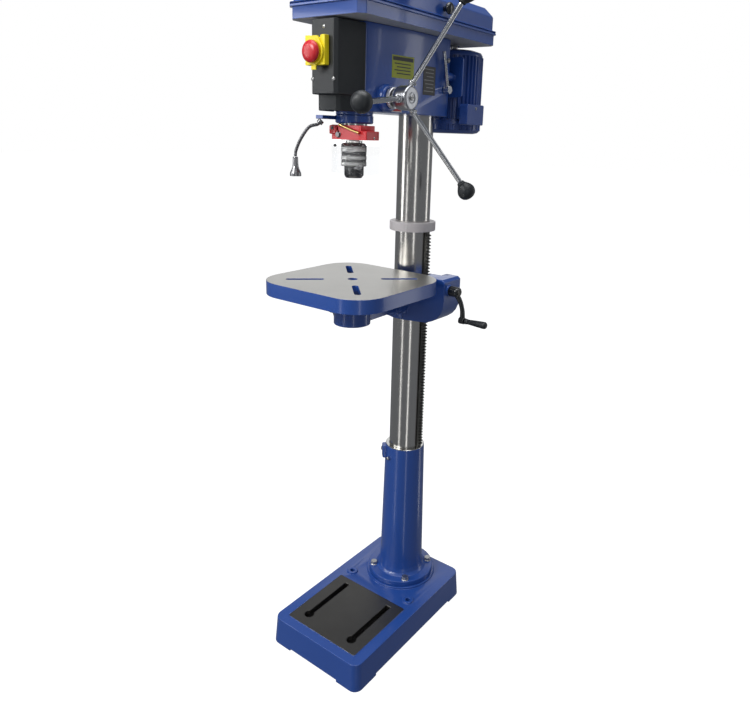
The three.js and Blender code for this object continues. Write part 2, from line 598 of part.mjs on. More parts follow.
function tableSlot(angle) {
  const [near, far] = [TABLE_SLOT_R - TABLE_SLOT_L / 2, TABLE_SLOT_R + TABLE_SLOT_L / 2];
  const half = TABLE_SLOT_W / 2;
  const shape = roundedBox([near, far], [-half, half], half - 0.2);
  const way = slab(shape, [-TABLE_SKIRT - 1, 1], 2);
  return way.rotate([0, 0, angle]);
}

// The table in its own frame: origin at the centre of its top face.
function workTable() {
  const half = TABLE_SIZE / 2;
  const rim = half - TABLE_RIM;
  const plate = slab(roundedBox([-half, half], [-half, half], TABLE_CORNER), [-TABLE_SKIRT, 0], 7);
  const below = slab(roundedBox([-rim, rim], [-rim, rim], TABLE_CORNER - TABLE_RIM),
    [-TABLE_SKIRT - 1, -TABLE_PLATE], 5);
  const hub = bar('z', [-TABLE_SKIRT, -TABLE_PLATE + 1], 52, [0, 0], 24);
  const spigot = bar('z', [-TABLE_SKIRT - SPIGOT_L, -TABLE_PLATE], SPIGOT_R, [0, 0], 24);
  const ribs = [0, 90].map((turn) => block([-rim - 1, rim + 1], [-5, 5], [-TABLE_SKIRT + 4, -TABLE_PLATE + 1])
    .rotate([0, 0, turn]));
  const hole = bar('z', [-TABLE_SKIRT - SPIGOT_L - 1, 1], TABLE_HOLE_R, [0, 0], 16);
  const slots = [45, 135, 225, 315].map(tableSlot);
  return cut(union(cut(plate, below), hub, spigot, ...ribs), hole, ...slots);
}

// ---- Head ---------------------------------------------------------------------------------------
function headOutline() {
  const right = [[HEAD_FRONT_W - 4, HEAD_FRONT], [HEAD_FRONT_W, HEAD_FRONT + 4], [HEAD_REAR_W - 3, -120],
    [HEAD_REAR_W, 30], [HEAD_REAR_W - 6, HEAD_REAR - 12], [HEAD_REAR_W - 22, HEAD_REAR]];
  const left = right.map(([x, y]) => [-x, y]).reverse();
  return outline([...right, ...left]);
}

function headCasting() {
  const body = slab(headOutline(), [HEAD_BOTTOM, HEAD_TOP]);
  const quillBoss = bar('z', [QUILL_BOSS_BOTTOM, HEAD_TOP], QUILL_BOSS_R, [0, SPINDLE_Y], 28);
  const pinionBoss = bar('x', [-72, 72], FEED_HUB_R + 1, [PINION_Y, PINION_Z], 22);
  const idlerPost = bar('z', [HEAD_TOP - 1, PULLEY_BOTTOM + 4 * STEP_H + 8], 9.5, [0, IDLER_Y], 16);
  const rodBosses = [-1, 1].map((s) => bar('y', [20, HEAD_REAR + 3], SLIDE_ROD_R + 4, [s * SLIDE_ROD_X, SLIDE_ROD_Z], 16));
  const whole = union(body, quillBoss, pinionBoss, idlerPost, ...rodBosses);
  const columnBore = bar('z', [HEAD_BOTTOM - 1, COLUMN_TOP + GAP], COLUMN_R + FIT, [0, 0], 28);
  const quillBore = bar('z', [QUILL_BOSS_BOTTOM - 1, QUILL_TOP + 12], QUILL_R + 0.4, [0, SPINDLE_Y], 28);
  const sleeveBore = bar('z', [QUILL_TOP, HEAD_TOP + 1], 20, [0, SPINDLE_Y], 18);
  const pinionBore = bar('x', [-73, 73], SHAFT_R + FIT, [PINION_Y, PINION_Z], 16);
  const pinionRoom = bar('x', [-11, 11], PINION_PITCH_R + 4, [PINION_Y, PINION_Z], 16);
  const hollow = block([-HEAD_FRONT_W + 6, HEAD_FRONT_W - 6], [SPINDLE_Y + 78, -COLUMN_R - 16], [HEAD_BOTTOM + 12, HEAD_TOP + 1]);
  const rodBores = [-1, 1].map((s) => bar('y', [MOTOR_PLATE_Y - SLIDE_ROD_REACH - MOTOR_TRAVEL - 2, HEAD_REAR + 4],
    SLIDE_ROD_R + FIT, [s * SLIDE_ROD_X, SLIDE_ROD_Z], 14));
  const leverBore = bar('x', [HEAD_REAR_W - 14, HEAD_REAR_W + 1], 6 + FIT, [LEVER.y, LEVER.z], 12);
  return cut(whole, hollow, columnBore, quillBore, sleeveBore, pinionBore, pinionRoom, ...rodBores, leverBore);
}

function quillNose() {
  const bore = QUILL_R + 0.4;
  const top = QUILL_BOSS_BOTTOM - GAP;
  const ring = turned([[bore, NOSE_BOTTOM], [NOSE_R - 3, NOSE_BOTTOM], [NOSE_R, NOSE_BOTTOM + 3],
    [NOSE_R, top], [bore, top]], 28);
  const ear = block([-48, -26], [-78, -20], [top - 10, top - 2]);
  const outside = bar('z', [NOSE_BOTTOM - 1, top + 1], bore + 8, [0, 0], 28);
  return union(ring, cut(ear, outside));
}

function coverOutline(frontW, backW, front, back) {
  return outline([[-frontW + 8, front], [frontW - 8, front], [frontW, front + 8], [backW, back],
    [-backW, back], [-frontW, front + 8]]);
}

function frontCover() {
  const back = HEAD_FRONT - GAP;
  const upper = slab(coverOutline(COVER_FRONT_W, HEAD_FRONT_W, COVER_FRONT, back), [COVER_STEP_Z, HEAD_TOP - 4]);
  const lower = slab(coverOutline(COVER_FRONT_W - 6, HEAD_FRONT_W - 4, COVER_FRONT + 14, back),
    [HEAD_BOTTOM - 2, COVER_STEP_Z + 1]);
  const t = COVER_WALL;
  const hollowUp = slab(coverOutline(COVER_FRONT_W - t, HEAD_FRONT_W - t, COVER_FRONT + t, back + 1),
    [COVER_STEP_Z + t, HEAD_TOP - 4 - t]);
  const hollowDown = slab(coverOutline(COVER_FRONT_W - 6 - t, HEAD_FRONT_W - 4 - t, COVER_FRONT + 14 + t, back + 1),
    [HEAD_BOTTOM - 2 - t, COVER_STEP_Z + t + 1]);
  const round = bar('z', [HEAD_BOTTOM - 10, HEAD_TOP + 1], QUILL_BOSS_R + 0.6, [0, SPINDLE_Y], 28);
  return cut(union(upper, lower), hollowUp, hollowDown, round);
}

function springHousing() {
  const cup = bar('z', [0, 22], 32, [0, 0], 24);
  return cut(cup, bar('z', [5, 23], SHAFT_R + FIT, [0, 0], 16));
}

// ---- Belt drive ---------------------------------------------------------------------------------
function housingOutline(inset, extra = 0) {
  const w = HOUSING_W - inset + extra;
  const [front, rear] = [BELT_FRONT + inset - extra, BELT_REAR - inset + extra];
  const c = BELT_CHAMFER - inset * 0.6;
  return outline([[-w + c, front], [w - c, front], [w, front + c], [w, rear - 12], [w - 12, rear],
    [-w + 12, rear], [-w, rear - 12], [-w, front + c]]);
}

function beltHousing() {
  const floor = HEAD_TOP + GAP;
  const tray = slab(housingOutline(0), [floor, BELT_SEAM]);
  const inside = slab(housingOutline(SHEET), [floor + SHEET, BELT_SEAM + 1]);
  const lip = cut(slab(housingOutline(0, LIP), [BELT_SEAM - 5, BELT_SEAM]), slab(housingOutline(1), [BELT_SEAM - 6, BELT_SEAM + 1]));
  const spindleHole = bar('z', [floor - 1, floor + SHEET + 1], 24, [0, SPINDLE_Y], 20);
  const idlerHole = bar('z', [floor - 1, floor + SHEET + 1], 9.5 + 1, [0, IDLER_Y], 16);
  const slotHalf = MOTOR_SHAFT_R + 5;
  const slot = roundedBox([-slotHalf, slotHalf], [MOTOR_Y - slotHalf - MOTOR_TRAVEL, MOTOR_Y + slotHalf], slotHalf - 1);
  return cut(union(cut(tray, inside), lip), spindleHole, idlerHole, slab(slot, [floor - 1, floor + SHEET + 1]));
}

const LID_BOX = { centre: [0, (BELT_FRONT + BELT_REAR) / 2], half: [HOUSING_W, (BELT_REAR - BELT_FRONT) / 2] };

function beltCover() {
  const bottom = BELT_SEAM + GAP;
  const lip = slab(housingOutline(0, LIP), [bottom, bottom + 5]);
  const wall = slab(housingOutline(3), [bottom, BELT_TOP - LID_ROOF + 0.01]);
  const roof = leaningSlab(housingOutline(3), [BELT_TOP - LID_ROOF, BELT_TOP], LID_SLOPE, LID_BOX);
  const inWall = slab(housingOutline(3 + SHEET), [bottom - 1, BELT_TOP - LID_ROOF + 0.01]);
  const inRoof = leaningSlab(housingOutline(3 + SHEET), [BELT_TOP - LID_ROOF, BELT_TOP - SHEET], LID_SLOPE, LID_BOX);
  const knobHole = bar('x', [HOUSING_W - 8, HOUSING_W], 4 + FIT, [LID_KNOB.y, LID_KNOB.z], 12);
  return cut(union(lip, wall, roof), inWall, inRoof, knobHole);
}

const LID_KNOB = { y: -46, z: BELT_SEAM + 23 };

function lidKnob() {
  const profile = [[0, -9], [4, -9], [4, 0], [6, 0], [7, 6], [13, 10], [14, 15], [12, 20], [0, 22]];
  return turned(profile, 14);
}

function steppedPulley(radii, boreR) {
  const points = [[boreR, 0]];
  radii.forEach((r, i) => {
    const z = i * STEP_H;
    points.push([r, z + 1], [r - GROOVE_DEPTH, z + STEP_H / 2], [r, z + STEP_H - 1]);
  });
  points.push([boreR, radii.length * STEP_H]);
  return turned(points, 18);
}

const RISING = STEP_RADII;
const FALLING = [...STEP_RADII].reverse();
const FRONT_LEVEL = 1;
const REAR_LEVEL = 2;

// A belt in its own frame: the first pulley at the origin and the second `span` further along Y.
function belt(r0, r1, span) {
  const inner = new THREE.Path();
  const shape = new THREE.Shape();
  const loop = (path, a, b) => {
    const lean = Math.asin((a - b) / span);
    path.absarc(0, 0, a, Math.PI - lean, 2 * Math.PI + lean, false);
    path.absarc(0, span, b, lean, Math.PI - lean, false);
    path.closePath();
  };
  loop(shape, r0 + BELT_THICK, r1 + BELT_THICK);
  loop(inner, r0, r1);
  shape.holes.push(inner);
  return slab(shape, [-BELT_H / 2, BELT_H / 2], 9);
}

const levelZ = (level) => PULLEY_BOTTOM + level * STEP_H + STEP_H / 2;
const beltR = (radii, level) => radii[level] - 2.6;

// ---- Motor --------------------------------------------------------------------------------------
function motorBody() {
  const points = [];
  for (let i = 0; i < MOTOR_FINS; i += 1) {
    [[MOTOR_R - MOTOR_FIN, -0.42], [MOTOR_R, -0.22], [MOTOR_R, 0.22], [MOTOR_R - MOTOR_FIN, 0.42]].forEach(([r, s]) => {
      const a = ((i + s) * 2 * Math.PI) / MOTOR_FINS;
      points.push([r * Math.cos(a), r * Math.sin(a)]);
    });
  }
  const shell = slab(outline(points), [MOTOR_BOTTOM + FAN_COVER_H + GAP, MOTOR_TOP - 14]);
  const bell = turned([[0, MOTOR_TOP - 15], [MOTOR_R - 2, MOTOR_TOP - 15], [MOTOR_R - 4, MOTOR_TOP - 8],
    [MOTOR_R - 18, MOTOR_TOP], [0, MOTOR_TOP]], 28);
  const feet = block([-62, 62], [MOTOR_PLATE_Y + MOTOR_PLATE_T + GAP - MOTOR_Y, -50], [MOTOR_PLATE_Z[0] + 12, MOTOR_PLATE_Z[1] - 12]);
  const boxPad = block([58, TERMINAL.x0 - GAP], [TERMINAL.y0 + 20 - MOTOR_Y, TERMINAL.y1 - MOTOR_Y], [TERMINAL.z0 + 14, TERMINAL.z1 - 6]);
  const shaftBore = bar('z', [MOTOR_TOP - 40, MOTOR_TOP + 1], MOTOR_SHAFT_R + FIT, [0, 0], 14);
  return cut(union(shell, bell, feet, boxPad), shaftBore);
}

const TERMINAL = { x0: 82, x1: 107, y0: 78, y1: 162, z0: MOTOR_BOTTOM + 23, z1: MOTOR_BOTTOM + 75 };

function fanCover() {
  const top = MOTOR_BOTTOM + FAN_COVER_H;
  const r = MOTOR_R + 1;
  return turned([[0, MOTOR_BOTTOM], [r - 14, MOTOR_BOTTOM], [r - 3, MOTOR_BOTTOM + 8], [r, MOTOR_BOTTOM + 16],
    [r, top], [0, top]], 28);
}

function terminalBox() {
  const shape = roundedBox([TERMINAL.y0, TERMINAL.y1], [TERMINAL.z0, TERMINAL.z1], 4);
  const geometry = new THREE.ExtrudeGeometry(shape, { depth: TERMINAL.x1 - TERMINAL.x0, bevelEnabled: false, curveSegments: 3 });
  return solid(geometry.rotateX(Math.PI / 2).rotateZ(Math.PI / 2).translate(TERMINAL.x0, 0, 0));
}

function motorPlate() {
  const half = MOTOR_PLATE_W / 2;
  const [y0, y1] = [MOTOR_PLATE_Y, MOTOR_PLATE_Y + MOTOR_PLATE_T];
  const plate = sideSlab(roundedBox([-half, half], MOTOR_PLATE_Z, 8), [y0, y1], 3);
  const rods = [-1, 1].map((s) => bar('y', [y0 - SLIDE_ROD_REACH, y0 + 1], SLIDE_ROD_R, [s * SLIDE_ROD_X, SLIDE_ROD_Z], 12));
  return union(plate, ...rods);
}

function motorPulley() {
  const shaft = bar('z', [MOTOR_TOP - 38, PULLEY_BOTTOM + 4 * STEP_H + 6], MOTOR_SHAFT_R, [0, 0], 14);
  return union(steppedPulley(MOTOR_STEP_RADII, 4).translate([0, 0, PULLEY_BOTTOM]), shaft);
}

const LEVER = { y: 24, z: HEAD_BOTTOM + 65, top: HEAD_BOTTOM + 154, lean: 28 };

// The tension lever in its own frame: shaft along X, lever rising towards +Z and leaning to the front.
function tensionLever() {
  const hub = bar('x', [HEAD_REAR_W + 1, HEAD_REAR_W + 17], 10, [0, 0], 14);
  const shaft = bar('x', [HEAD_REAR_W - 12, HEAD_REAR_W + 2], 6, [0, 0], 10);
  const path = new THREE.LineCurve3(new THREE.Vector3(HEAD_REAR_W + 10, 0, 0),
    new THREE.Vector3(HEAD_REAR_W + 12, -LEVER.lean, LEVER.top - LEVER.z));
  const section = new THREE.Shape().absarc(0, 0, 4.5, 0, 2 * Math.PI, false);
  const rod = new THREE.ExtrudeGeometry(section, { steps: 1, extrudePath: path, curveSegments: 4 });
  return union(hub, shaft, solid(rod));
}

// ---- Feed, quill and chuck ----------------------------------------------------------------------
// The feed parts share a frame whose Z axis is the pinion shaft, pointing to the operator's right.
function feedHub() {
  const [x0, x1] = FEED_HUB_X;
  const cone = turned([[0, x0], [20, x0], [FEED_HUB_R - 2, x0 + 8], [FEED_HUB_R, x0 + 14], [FEED_HUB_R, x1 - 2],
    [FEED_HUB_R - 2, x1], [0, x1]], 24);
  const shaft = bar('z', [-88, x0 + 1], SHAFT_R, [0, 0], 14);
  const pinion = gear(PINION_PITCH_R, PINION_TEETH, [-9, 9]);
  const roots = [0, 1, 2].map((i) => feedRodShape(ROD_R + FIT, -6).rotate([0, 0, i * 120]));
  return cut(union(cone, shaft, pinion.rotate([0, 0, -ROD_PHASE])), ...roots);
}

const ROD_SPAN = Math.hypot(ROD_TIP_X - ROD_ROOT_X, ROD_TIP_R - ROD_ROOT_R);
const ROD_LEAN = Math.atan2(ROD_TIP_X - ROD_ROOT_X, ROD_TIP_R - ROD_ROOT_R);

// A rod along the lever direction of phase 0, which lies in the feed frame's XZ plane.
function alongRod(body) {
  return body.rotate([0, 90 - THREE.MathUtils.radToDeg(ROD_LEAN), 0]).translate([ROD_ROOT_R, 0, ROD_ROOT_X]);
}

const feedRodShape = (r, from = 0) => alongRod(bar('z', [from, ROD_SPAN], r, [0, 0], 10));

function feedKnob() {
  const profile = [[0, 0], [9, 0], [10, 3], [KNOB_R - 4, 15], [KNOB_R, 26], [KNOB_R - 3, 37], [KNOB_R - 12, KNOB_L - 2],
    [0, KNOB_L]];
  return alongRod(turned(profile, 16).translate([0, 0, ROD_SPAN + GAP]));
}

function depthRing() {
  const [x0, x1] = RING_X;
  const bore = SHAFT_R + FIT;
  return turned([[bore, x0], [RING_R, x0], [RING_R, x1 - 1], [RING_R - 1, x1], [bore, x1]], 24);
}

// The spindle parts share a frame whose Z axis is the spindle axis.
function quill() {
  const tube = turned([[QUILL_BORE_R, QUILL_BOTTOM], [QUILL_R, QUILL_BOTTOM], [QUILL_R, QUILL_TOP],
    [QUILL_BORE_R, QUILL_TOP]], 28);
  const module = modulus(PINION_PITCH_R, PINION_TEETH);
  const pitchY = PINION_Y - PINION_PITCH_R - SPINDLE_Y;
  const root = pitchY - TOOTH.dedendum * module;
  const last = Math.floor((QUILL_TOP - 6 - PINION_Z) / (Math.PI * module));
  const teeth = rackTeeth(module, -1, last).map(([out, along]) => [pitchY + out, PINION_Z + along]);
  const [bottom, top] = [teeth[0][1] - 2, teeth.at(-1)[1] + 2];
  const flank = outline([...teeth, [root, top], [QUILL_R + 2, top], [QUILL_R + 2, bottom], [root, bottom]]);
  const gaps = sideSlab(flank, [-11, 11]).rotate([0, 0, 90]);
  return cut(tube, gaps);
}

function spindle() {
  const shoulder = CHUCK_TOP + GAP;
  return turned([[0, CHUCK_SPLIT + 8], [SPINDLE_R - 1, CHUCK_SPLIT + 8], [SPINDLE_R, shoulder], [20, shoulder],
    [20, QUILL_BOTTOM - 1], [SPINDLE_R, QUILL_BOTTOM - 1], [SPINDLE_R, PULLEY_BOTTOM + 51], [0, PULLEY_BOTTOM + 51]], 18);
}

const jawRun = Math.tan(THREE.MathUtils.degToRad(JAW_SLOPE));
const cavityR = (z) => MOUTH_CAVITY_R + (z - CHUCK_MOUTH) * jawRun;

function chuckBody() {
  const bore = SPINDLE_R + FIT;
  return turned([[0, CHUCK_SPLIT + 5], [0, CHUCK_SPLIT], [CHUCK_R, CHUCK_SPLIT], [CHUCK_R, CHUCK_TOP - 5],
    [CHUCK_R - 6, CHUCK_TOP], [bore, CHUCK_TOP], [bore - 0.6, CHUCK_SPLIT + 7], [0, CHUCK_SPLIT + 7]].slice(1), 28);
}

function chuckSleeve() {
  const top = CHUCK_SPLIT - GAP;
  return turned([[cavityR(CHUCK_MOUTH), CHUCK_MOUTH], [CHUCK_MOUTH_R, CHUCK_MOUTH], [NOSE_CONE_R, CHUCK_MOUTH + 6],
    [NOSE_CONE_R, CHUCK_STEP], [CHUCK_R, CHUCK_STEP + 1], [CHUCK_R, top], [cavityR(top), top]], 28);
}

// A jaw in the chuck's frame, on the +X side: its back leans with the cavity and its face is upright.
function chuckJaw() {
  const [z0, z1] = [CHUCK_MOUTH + 1, CHUCK_MOUTH + 1 + JAW_L];
  const backAt = (z) => cavityR(z) * Math.cos(Math.PI / 28) - 0.9;
  const shape = outline([[4.2, z0], [backAt(z0), z0], [backAt(z1), z1], [4.2, z1]]);
  return sideSlab(shape, [-JAW_W / 2, JAW_W / 2]);
}

// ---- Guard, switch and lamp ---------------------------------------------------------------------
function guardClamp() {
  const ring = bar('z', [GUARD_BOTTOM, GUARD_TOP], GUARD_R, [0, 0], 24);
  const upper = block([-GUARD_LEFT, GUARD_RIGHT - 16], [-GUARD_R, 12], [GUARD_BOTTOM, GUARD_TOP]);
  const lower = block([-GUARD_LEFT, GUARD_RIGHT], [-GUARD_R, 8], [GUARD_BOTTOM, GUARD_STEP]);
  const hingeX = [-GUARD_LEFT - 6, -GUARD_LEFT + 14];
  const hingeBlock = block(hingeX, [-GUARD_R - 2, -GUARD_R + 20], [GUARD_STEP - 8, GUARD_TOP - 1]);
  const bore = bar('z', [GUARD_BOTTOM - 1, GUARD_TOP + 1], QUILL_R + FIT, [0, 0], 28);
  const bolt = bar('y', [-GUARD_R - 10, -GUARD_R + 7], 3, [-15, GUARD_BOTTOM + 11], 8);
  return cut(union(ring, upper, lower, hingeBlock), bore, bolt);
}

function guardShield() {
  const [left, right] = [-GUARD_LEFT - 2, GUARD_RIGHT + 2];
  const [front, back] = [-GUARD_R - 2, -GUARD_R - 2 + SHIELD_DEPTH];
  const outer = roundedBox([left, right], [front, back + 40], 9);
  const inner = roundedBox([left + SHIELD_T, right - SHIELD_T], [front + SHIELD_T, back + 60], 6);
  const top = GUARD_BOTTOM - GAP;
  const wall = cut(slab(outer, [SHIELD_BOTTOM, top], 4), slab(inner, [SHIELD_BOTTOM - 1, top + 1], 4));
  const rear = block([left - 1, right + 1], [back, back + 80], [SHIELD_BOTTOM - 1, top + 1]);
  const side = block([left - 1, left + 10], [front + SHIELD_RETURN, back + 80], [SHIELD_BOTTOM - 1, top + 1]);
  const nutHole = bar('y', [front - 1, front + SHIELD_T + 1], 2.6, [SHIELD_NUT.x, SHIELD_NUT.z], 12);
  return cut(wall, rear, side, nutHole);
}

const SHIELD_NUT = { x: GUARD_RIGHT - 16, z: SHIELD_BOTTOM + 17 };

function guardWingNut() {
  const front = -GUARD_R - 2 - GAP;
  const { x, z } = SHIELD_NUT;
  const hub = bar('y', [front - 7, front], 5, [x, z], 12);
  const screw = bar('y', [front - 9, front + SHIELD_T + 2 * GAP], 2.3, [x, z], 12);
  const wings = sideSlab(outline([[x - 12, z - 5], [x - 2, z - 2], [x + 2, z - 2], [x + 12, z + 3], [x + 12, z + 9],
    [x, z + 3], [x - 12, z + 1]]), [front - 5, front - 2]);
  return union(hub, screw, wings);
}

function switchBox() {
  const [z0, z1] = SWITCH_Z;
  const [x0, x1] = [SWITCH_X - SWITCH_W / 2, SWITCH_X + SWITCH_W / 2];
  const front = COVER_FRONT - GAP - SWITCH_DEPTH;
  const shape = outline([[x0, z0], [x1, z0], [x1, z1], [x1 - 12, z1], [x1 - 14, z1 - 5], [x0 + 14, z1 - 5],
    [x0 + 12, z1], [x0, z1]]);
  const pocket = bar('y', [front - 1, front + 9], 8, [SWITCH_X, STOP_Z - 6], 20);
  return cut(sideSlab(shape, [front, COVER_FRONT - GAP]), pocket);
}

const FLAP_FRONT = COVER_FRONT - GAP - SWITCH_DEPTH - 1.5;

// The stop flap in its own frame: origin on its hinge line, hanging towards -Z.
function stopFlap() {
  const drop = SWITCH_Z[1] - 2 - STOP_Z;
  const shape = new THREE.Shape();
  shape.moveTo(-11, 0).lineTo(-STOP_R * 0.8, -drop + STOP_R * 0.6);
  shape.absarc(0, -drop, STOP_R, Math.PI * 0.8, Math.PI * 2.2, false).lineTo(11, 0);
  const plate = sideSlab(shape, [-5, 0], 12);
  const tab = block([-7, 7], [-4, 0], [-drop - STOP_R - 9, -drop - STOP_R + 3]);
  return cut(union(plate, tab), bar('y', [-6, 1], 6 + FIT, [0, -drop], 14));
}

function stopMushroom() {
  const cap = turned([[0, 0], [STOP_R - 6, 0], [STOP_R - 4, 3], [STOP_R - 5, 9], [STOP_R - 12, 13], [0, 14]], 20);
  return union(cap, bar('z', [-5, 1], 6, [0, 0], 12));
}

// The hose's route from the head's underside: x, y from the spindle axis and z from the head's underside.
const LAMP_PATH = [[-37, -70, -22], [-44, -75, -31], [-66, -81, -38], [-92, -81, -64], [-110, -79, -90],
  [-115, -77, -104]];

function lampHose() {
  const path = new THREE.CatmullRomCurve3(LAMP_PATH.map(([x, y, z]) => new THREE.Vector3(x, SPINDLE_Y + y, HEAD_BOTTOM + z)));
  const section = new THREE.Shape().absarc(0, 0, LAMP_R, 0, 2 * Math.PI, false);
  return solid(new THREE.ExtrudeGeometry(section, { steps: 16, extrudePath: path, curveSegments: 4 }));
}

function lampHead() {
  return cut(turned([[0, 0], [6, 0], [7, -14], [9, -20], [13.5, -42], [13.5, -45], [0, -45]], 16),
    turned([[0, -46], [11.5, -46], [11.5, -41], [0, -38]], 14));
}

// ---- Assembly -----------------------------------------------------------------------------------
function group(at, ...children) {
  const result = new THREE.Group();
  result.position.set(...at);
  children.forEach((child) => result.add(child));
  return result;
}

function stand() {
  const bolts = socketBoltSpots().map(([x, y], i) => hexBolt(`socket_bolt_${i + 1}`, { at: [x, y, FLANGE_TOP + GAP] },
    SOCKET_BOLT_HEAD_R, SOCKET_BOLT_HEAD_H, SOCKET_BOLT_R, FLANGE_H + 18));
  return group([0, 0, 0], named('base', base(), BLUE), named('column_socket', columnSocket(), BLUE), ...bolts,
    named('column', column(), STEEL), named('column_collar', columnCollar(), GREY), named('rack', rack(), DARK_STEEL));
}

function table() {
  const lift = named('lift_gear', liftGear(), DARK_STEEL, { at: [LIFT_X, 0, TILT_Z], turn: [-90, 0, 0] });
  const crank = group([0, CRANK_Y, CRANK_Z], named('worm_shaft', wormShaft(), DARK_STEEL),
    named('table_crank', tableCrank(), BLACK),
    named('crank_grip', crankGrip(), BLACK, { at: [0, 0, -CRANK_THROW] }));
  const columnLock = { at: [-BRACKET_R - 8 - GAP, 20, TILT_Z - 6], turn: [35, 0, 180] };
  const tableLock = { at: [-ARM_RING_R - 8 - GAP, SPINDLE_Y, TILT_Z - 6], turn: [20, 0, 180] };
  return group([0, 0, 0], named('table_bracket', tableBracket(), BLUE), lift, crank,
    named('column_lock_handle', lockHandle(15, 52), BLACK, columnLock),
    named('tilt_bolt', tiltBolt(), DARK_STEEL), named('table_arm', tableArm(), BLUE),
    named('table_lock_handle', lockHandle(16, 34), BLACK, tableLock),
    named('work_table', workTable(), GROUND, { at: [0, SPINDLE_Y, TABLE_TOP] }));
}

function drive() {
  const front = belt(beltR(FALLING, FRONT_LEVEL), beltR(RISING, FRONT_LEVEL), IDLER_Y - SPINDLE_Y);
  const rear = belt(beltR(RISING, REAR_LEVEL), beltR(MOTOR_STEP_RADII, REAR_LEVEL), MOTOR_Y - IDLER_Y);
  const idler = steppedPulley(RISING, 9.5 + FIT);
  const motor = group([0, MOTOR_Y, 0], named('motor_body', motorBody(), BLUE), named('fan_cover', fanCover(), BLUE),
    named('motor_pulley', motorPulley(), GREY));
  return group([0, 0, 0], motor, named('terminal_box', terminalBox(), BLUE), named('motor_plate', motorPlate(), BLUE),
    named('tension_lever', tensionLever(), CHROME, { at: [0, LEVER.y, LEVER.z] }),
    named('spindle_pulley', steppedPulley(FALLING, SPINDLE_R + FIT), GREY, { at: [0, SPINDLE_Y, PULLEY_BOTTOM] }),
    named('idler_pulley', idler, GREY, { at: [0, IDLER_Y, PULLEY_BOTTOM] }),
    named('front_belt', front, RUBBER, { at: [0, SPINDLE_Y, levelZ(FRONT_LEVEL)] }),
    named('rear_belt', rear, RUBBER, { at: [0, IDLER_Y, levelZ(REAR_LEVEL)] }),
    named('belt_housing', beltHousing(), BLUE), named('belt_cover', beltCover(), BLUE),
    named('lid_knob', lidKnob(), BLACK, { at: [HOUSING_W - 3 + GAP, LID_KNOB.y, LID_KNOB.z], turn: [0, 90, 0] }));
}

function feed() {
  const shared = group([0, PINION_Y, PINION_Z]);
  shared.rotation.set(0, Math.PI / 2, 0);
  shared.add(named('feed_hub', feedHub(), CHROME, { turn: [0, 0, ROD_PHASE + 90] }));
  shared.add(named('depth_ring', depthRing(), CHROME));
  shared.add(named('spring_housing', springHousing(), BLACK, { at: [0, 0, -72 - GAP - 22] }));
  [1, 2, 3].forEach((i) => {
    const turn = [0, 0, ROD_PHASE + 90 + (i - 1) * 120];
    shared.add(named(`feed_rod_${i}`, feedRodShape(ROD_R), CHROME, { turn }));
    shared.add(named(`feed_knob_${i}`, feedKnob(), BLACK, { turn }));
  });
  return shared;
}

function spindleLine() {
  const jaws = [0, 1, 2].map((i) => named(`chuck_jaw_${i + 1}`, chuckJaw(), DARK_STEEL, { turn: [0, 0, 30 + i * 120] }));
  return group([0, SPINDLE_Y, 0], named('quill', quill(), STEEL), named('spindle', spindle(), STEEL),
    named('chuck_body', chuckBody(), DARK_STEEL), named('chuck_sleeve', chuckSleeve(), DARK_STEEL), ...jaws,
    named('quill_nose', quillNose(), BLUE), named('guard_clamp', guardClamp(), RED),
    named('guard_shield', guardShield(), CLEAR), named('guard_wing_nut', guardWingNut(), DARK_STEEL));
}

function controls() {
  const hinge = [SWITCH_X, FLAP_FRONT + 1.2, SWITCH_Z[1] - 2];
  const mushroomY = FLAP_FRONT + 1.2 - 5 - 3 - GAP;
  const button = bar('y', [0, 5], 7.4, [0, 0], 16);
  const buttonY = COVER_FRONT - GAP - SWITCH_DEPTH;
  return group([0, 0, 0], named('switch_box', switchBox(), YELLOW), named('stop_flap', stopFlap(), RED, { at: hinge }),
    named('stop_mushroom', stopMushroom(), RED, { at: [SWITCH_X, mushroomY, STOP_Z], turn: [90, 0, 0] }),
    named('start_button', button, GREEN, { at: [SWITCH_X, buttonY, STOP_Z - 6] }),
    named('lamp_hose', lampHose(), BLACK), named('lamp_head', lampHead(), CHROME, { at: [-115, SPINDLE_Y - 77, HEAD_BOTTOM - 106] }));
}

const drillPress = new THREE.Group();
drillPress.add(stand(), table(), named('head_casting', headCasting(), BLUE), named('front_cover', frontCover(), BLACK));
drillPress.add(drive(), feed(), spindleLine(), controls());

export default drillPress;
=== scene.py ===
# %% [markdown]
# # A floor-standing drill press
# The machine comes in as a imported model, one closed solid for each real part, and each solid rides on the body
# that moves it. These cells dress those solids: castings keep their shape and get worked edges and enamel, while
# round, knurled and bent parts are built again as fine surfaces from arrays of points.

import json
import math

import bmesh
import bpy
import numpy as np
from mathutils import Matrix, Vector


